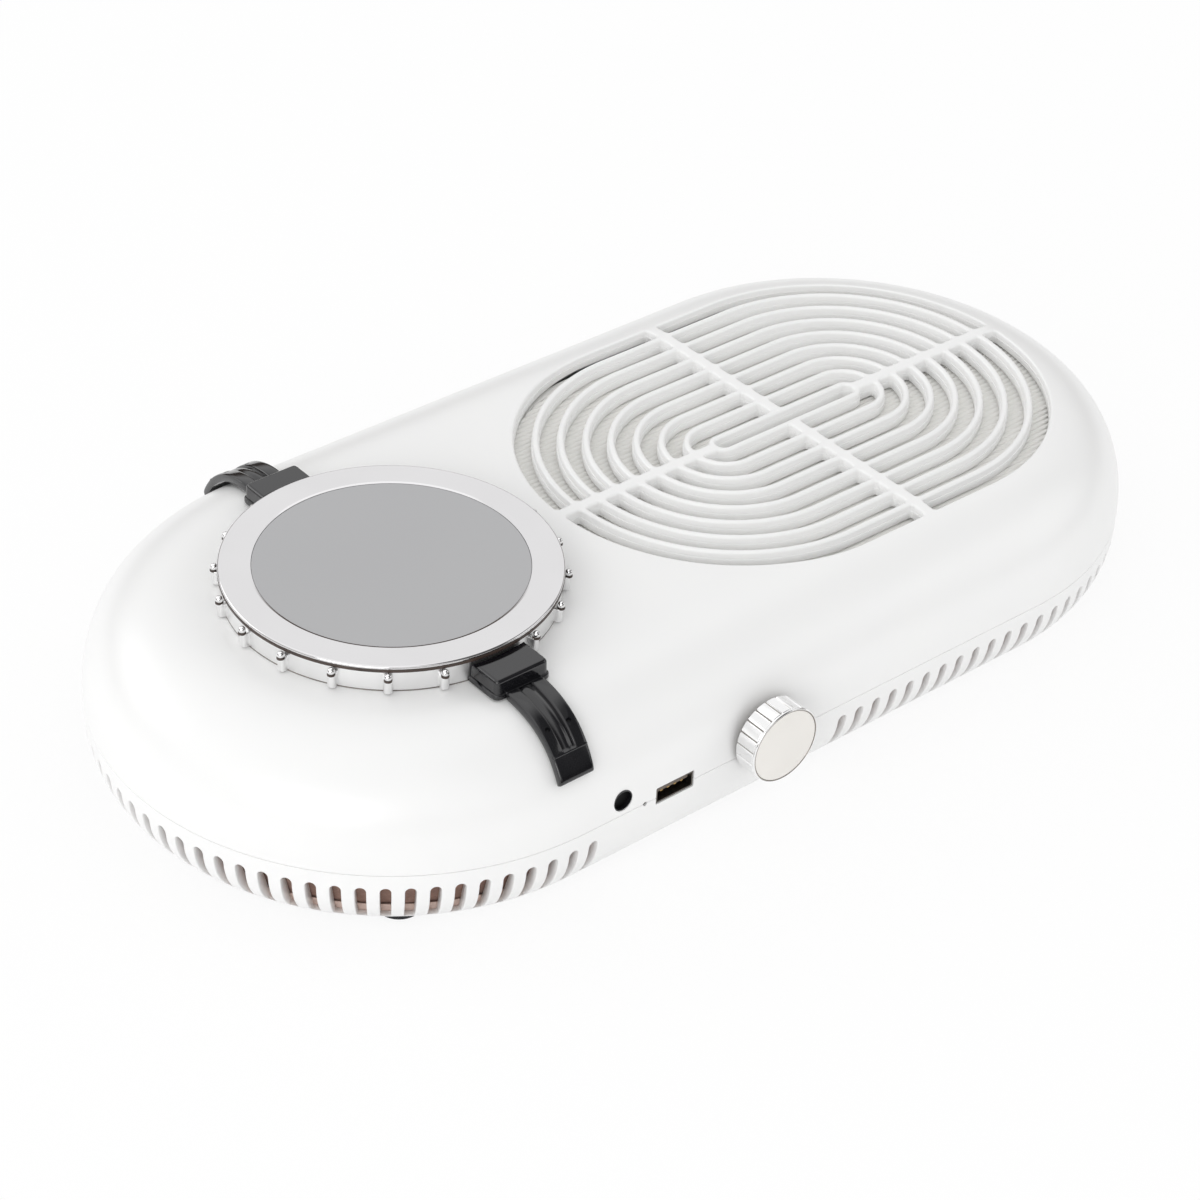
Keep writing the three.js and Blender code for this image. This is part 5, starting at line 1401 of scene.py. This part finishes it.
def make_knob():
    rings = [facing(knob_outline(out), y) for out, y in KNOB_GRIP]
    front = quarter_round(KNOB_RADIUS, KNOB_FACE_Y, KNOB_RIM_ROUND, -KNOB_RIM_ROUND, 6)
    rim = [*KNOB_RIM, *front, *KNOB_SEAT]
    rings += [facing(circle(KNOB_X, KNOB_Z, r, KNOB_STEPS), y) for r, y in rim]
    options = {"node": "speed_knob", "sharp": 40, "even": True}
    make_piece("knob_grip", Skin().loft(rings), "knob", "bright_trim", knob_plating_painted_shade(), **options)
    skin = Skin().turned_forward(FACE_EDGE + FACE_DISH, KNOB_X, KNOB_Z, 96)
    make_piece("knob_face", skin, "knob", "satin_white", KNOB_FACE, even=True)


def make_inlet():
    """The jack with its bore and pin, and the black lining that comes off with the cover."""
    low, high = node_box("dc_jack")
    nose = soften(rectangle(*DC_NOSE), DC_NOSE_EDGE, 2)
    skin = Skin().turned_forward(nose, DC_X, DC_Z, 48, loop=True)
    skin.loft(box_rings((low[0], DC_BLOCK_Y, low[2]), high, *DC_BLOCK_ROUNDS))
    bore = Skin().turned_forward([(DC_BORE, y) for y in DC_BORE_Y], DC_X, DC_Z, 48)
    options = {"node": "dc_jack", "sharp": 45, "less": bore}
    make_piece("inlet_jack", skin, "base", "black_satin", SOCKET_BLACK, **options)
    liner = soften(rectangle(*DC_LINER), DC_LINER_EDGE, 2)
    skin = Skin().turned_forward(liner, DC_X, DC_Z, 64, loop=True)
    make_piece("inlet_liner", skin, "cover", "black_gloss")
    pin = Skin().turned_forward(DC_PIN, DC_X, DC_Z, 24)
    make_piece("inlet_pin", pin, "base", "steel")


def make_light():
    end = node_box("status_led")[1][1]
    profile = [*LED_DOME, (LED_RADIUS, end), (LED_AXIS, end)]
    skin = Skin().turned_forward(profile, LED_X, SEAM_Z, 32)
    make_piece("light", skin, "base", "lens", node="status_led")


def make_port():
    back = node_box("usb_tongue")[1][1]
    core = Skin()
    for front, low, high, corner in CORE_BOXES:
        corners = (USB_X - CORE_HALF, front, low), (USB_X + CORE_HALF, back, high)
        core.loft(box_rings(*corners, corner, CORE_EDGE))
    options = {"node": "usb_tongue", "sharp": 45, "even": True}
    make_piece("port_tongue", core, "base", "black_satin", PORT_CORE, **options)
    contacts = Skin()
    for k in range(CONTACTS):
        x = USB_X + (k - (CONTACTS - 1) / 2) * CONTACT_PITCH
        low = (x - CONTACT_HALF, CONTACT_Y[0], CONTACT_Z[0])
        high = (x + CONTACT_HALF, CONTACT_Y[1], CONTACT_Z[1])
        contacts.loft(box_rings(low, high, *CONTACT_ROUNDS))
    make_piece("port_contacts", contacts, "base", "steel", CONTACT_GOLD, sharp=45)


def make_feet():
    pad = soften(FOOT_PAD, FOOT_EDGE, closed=False)
    for corner in ("front_left", "rear_left", "front_right", "rear_right"):
        node = "foot_" + corner
        middle = node_middle(node)
        skin = Skin().turned(pad, *middle, 64, loop=False)
        skin.turned(FOOT_STUD, *middle, 24, loop=False)
        make_piece("rubber_" + corner, skin, "base", "foot_rubber", node=node, even=True)


# Filter


def filter_extent(y, inset):
    """Where the filter's outline starts and ends along X at a y, set in by a distance."""
    corner = FILTER_CORNER - inset
    over = max(0.0, abs(y) - FILTER_FLAT)
    reach = sqrt(max(0.0, corner**2 - over**2))
    return FILTER_LEFT_X + FILTER_CORNER - reach, FILTER_RIGHT_X - FILTER_CORNER + reach


def pleat_rows():
    """[y, height] points across the pleats, with a round crest and a round valley each."""
    half = FILTER_HALF_WIDTH - FILTER_WALL - PLEAT_GAP
    count = int(2 * half / PLEAT_PITCH)
    start = -count * PLEAT_PITCH / 2
    top = FILTER_TOP_Z + PLEAT_RISE
    crest = [*PLEAT_CREST, *((1 - share, drop) for share, drop in PLEAT_CREST[-2::-1])]
    rows = []
    for i in range(count):
        y = start + i * PLEAT_PITCH
        rows += [(y + PLEAT_PITCH * share, top - drop) for share, drop in crest]
    return rows


def make_pleats():
    skin = Skin()
    tops, feet = [], []
    for y, z in pleat_rows():
        xs = steps_between(*filter_extent(y, FILTER_WALL + PLEAT_GAP), 6)
        tops.append([(x, y, z) for x in xs])
        feet.append([(x, y, PLEAT_LOW_Z) for x in xs])
    upper = skin.sleeve(tops, closed=False)
    lower = skin.sleeve(feet, closed=False)
    for k in (0, -1):
        skin.band([row[k] for row in upper], [row[k] for row in lower], closed=False)
        skin.band(upper[k], lower[k], closed=False)
    make_piece("pleats", skin, "filter", "filter_paper", node="filter_media", sharp=60)


def filter_outline(inset):
    """The filter frame's outline, set in by a distance."""
    corner = FILTER_CORNER - inset
    left = FILTER_LEFT_X + FILTER_CORNER
    right = FILTER_RIGHT_X - FILTER_CORNER
    flat, quarter = FILTER_FLAT, pi / 2
    outline = []
    for x, y, start in ((right, -flat, -1), (right, flat, 0), (left, flat, 1), (left, -flat, 2)):
        for turn in steps_between(start * quarter, (start + 1) * quarter, 32):
            outline.append((x + corner * cos(turn), y + corner * sin(turn)))
    return outline


def make_filter_frame():
    width, thick = FILTER_SILL
    low, sill = FILTER_LOW_Z, FILTER_WALL + width
    section = [(0.0, low), (0.0, FILTER_TOP_Z), (FILTER_WALL, FILTER_TOP_Z)]
    section += [(FILTER_WALL, low + thick), (sill, low + thick), (sill, low)]
    rings = [upright(filter_outline(inset), z) for inset, z in soften(section, FILTER_EDGE)]
    skin = Skin().loft(rings, loop=True)
    make_piece("filter_surround", skin, "filter", "satin_white", node="filter_frame", even=True)


# Stage, light and camera


def empty_tree(owner):
    owner.use_nodes = True
    owner.node_tree.nodes.clear()
    return owner.node_tree


def seen_or_mirrored(tree, path):
    """1 for rays that the camera, a mirror or a glass sends, and 0 for the light on the object."""
    either = path.outputs["Is Camera Ray"]
    for ray in ("Is Glossy Ray", "Is Transmission Ray"):
        inputs = {0: either, 1: path.outputs[ray]}
        either = add_node(tree, "Math", inputs, operation="MAXIMUM").outputs["Value"]
    return either


def make_stage():
    bpy.ops.mesh.primitive_plane_add(size=FLOOR_SIZE, location=(0, 0, 0))
    floor = bpy.context.object
    floor.name = "floor"
    material = bpy.data.materials.new("floor_white")
    tree = empty_tree(material)
    lit = add_node(tree, "BsdfDiffuse", {"Color": FLOOR_COLOUR})
    glow = add_node(tree, "Emission", {"Strength": 1.0})
    seen = seen_or_mirrored(tree, add_node(tree, "LightPath"))
    share = add_node(tree, "Math", {0: seen, 1: FLOOR_GLOW}, operation="MULTIPLY")
    inputs = {"Fac": share.outputs["Value"], 1: lit.outputs["BSDF"], 2: glow.outputs["Emission"]}
    mix = add_node(tree, "MixShader", inputs)
    add_node(tree, "OutputMaterial", {"Surface": mix.outputs["Shader"]})
    floor.data.materials.append(material)


def make_world():
    """Even studio surroundings: a plain level for light, and white where seen or mirrored."""
    world = bpy.data.worlds.new("studio")
    bpy.context.scene.world = world
    tree = empty_tree(world)
    path = add_node(tree, "LightPath")
    direction = add_node(tree, "TexCoord").outputs["Generated"]
    height = add_node(tree, "SeparateXYZ", {"Vector": direction}).outputs["Z"]
    aim = {0: direction, 1: Vector(DARK_SIDE).normalized()}
    facing_side = add_node(tree, "VectorMath", aim, operation="DOT_PRODUCT").outputs["Value"]
    horizon = add_ramp(tree, height, HORIZON_STOPS)
    side = add_ramp(tree, facing_side, SIDE_STOPS)
    colours = {"Factor": 1.0, 6: horizon, 7: side}
    both = add_node(tree, "Mix", colours, data_type="RGBA", blend_type="MULTIPLY")
    colours = {"Factor": path.outputs["Is Camera Ray"], 6: both.outputs[2], 7: WHITE}
    tone = add_node(tree, "Mix", colours, data_type="RGBA")
    light = add_node(tree, "Background", {"Color": WHITE, "Strength": WORLD_LEVEL})
    seen = add_node(tree, "Background", {"Color": tone.outputs[2], "Strength": 1.0})
    share = seen_or_mirrored(tree, path)
    inputs = {"Fac": share, 1: light.outputs["Background"], 2: seen.outputs["Background"]}
    mix = add_node(tree, "MixShader", inputs)
    add_node(tree, "OutputWorld", {"Surface": mix.outputs["Shader"]})


def make_lamp(name, place, size, watts):
    data = bpy.data.lights.new(name, "AREA")
    data.shape = "RECTANGLE"
    data.size, data.size_y = size
    data.energy = watts
    lamp = bpy.data.objects.new(name, data)
    bpy.context.scene.collection.objects.link(lamp)
    lamp.location = place
    aim = Vector(LAMP_AIM) - Vector(place)
    lamp.rotation_euler = aim.to_track_quat("-Z", "Y").to_euler()


def make_camera():
    data = bpy.data.cameras.new("camera")
    data.sensor_width = CAMERA_SENSOR
    data.lens = CAMERA_LENS
    data.clip_start, data.clip_end = CAMERA_CLIP
    camera = bpy.data.objects.new("camera", data)
    bpy.context.scene.collection.objects.link(camera)
    turn, rise, roll = map(radians, (CAMERA_TURN, CAMERA_RISE, CAMERA_ROLL))
    level = cos(rise)
    back = Vector((sin(turn) * level, -cos(turn) * level, sin(rise)))
    right = (-back).cross(Vector((0, 0, 1))).normalized()
    up = right.cross(-back)
    across = right * cos(roll) + up * sin(roll)
    upward = up * cos(roll) - right * sin(roll)
    matrix = Matrix((across, upward, back)).transposed().to_4x4()
    matrix.translation = (Vector(CAMERA_TARGET) + back * CAMERA_DISTANCE) * METRE
    camera.matrix_world = matrix
    bpy.context.scene.camera = camera


dress_cad_nodes()
make_camera()
make_stage()
make_world()
for lamp in LAMPS:
    make_lamp(*lamp)

make_cover()
make_tray()
make_posts()
make_sill_band()
make_lip()
make_case_ring()
make_case_ribs()
make_case_studs()
make_case_shade_ring()
make_bezel()
make_bezel_shade_ring()
make_window()
make_lug(1, "lug_front", "front_lug")
make_lug(-1, "lug_rear", "rear_lug")
make_strap(1, "strap_front", "front_strap")
make_strap(-1, "strap_rear", "rear_strap")
make_knob()
make_inlet()
make_light()
make_port()
make_feet()
make_pleats()
make_filter_frame()

scene = bpy.context.scene
scene.view_settings.view_transform = "Standard"
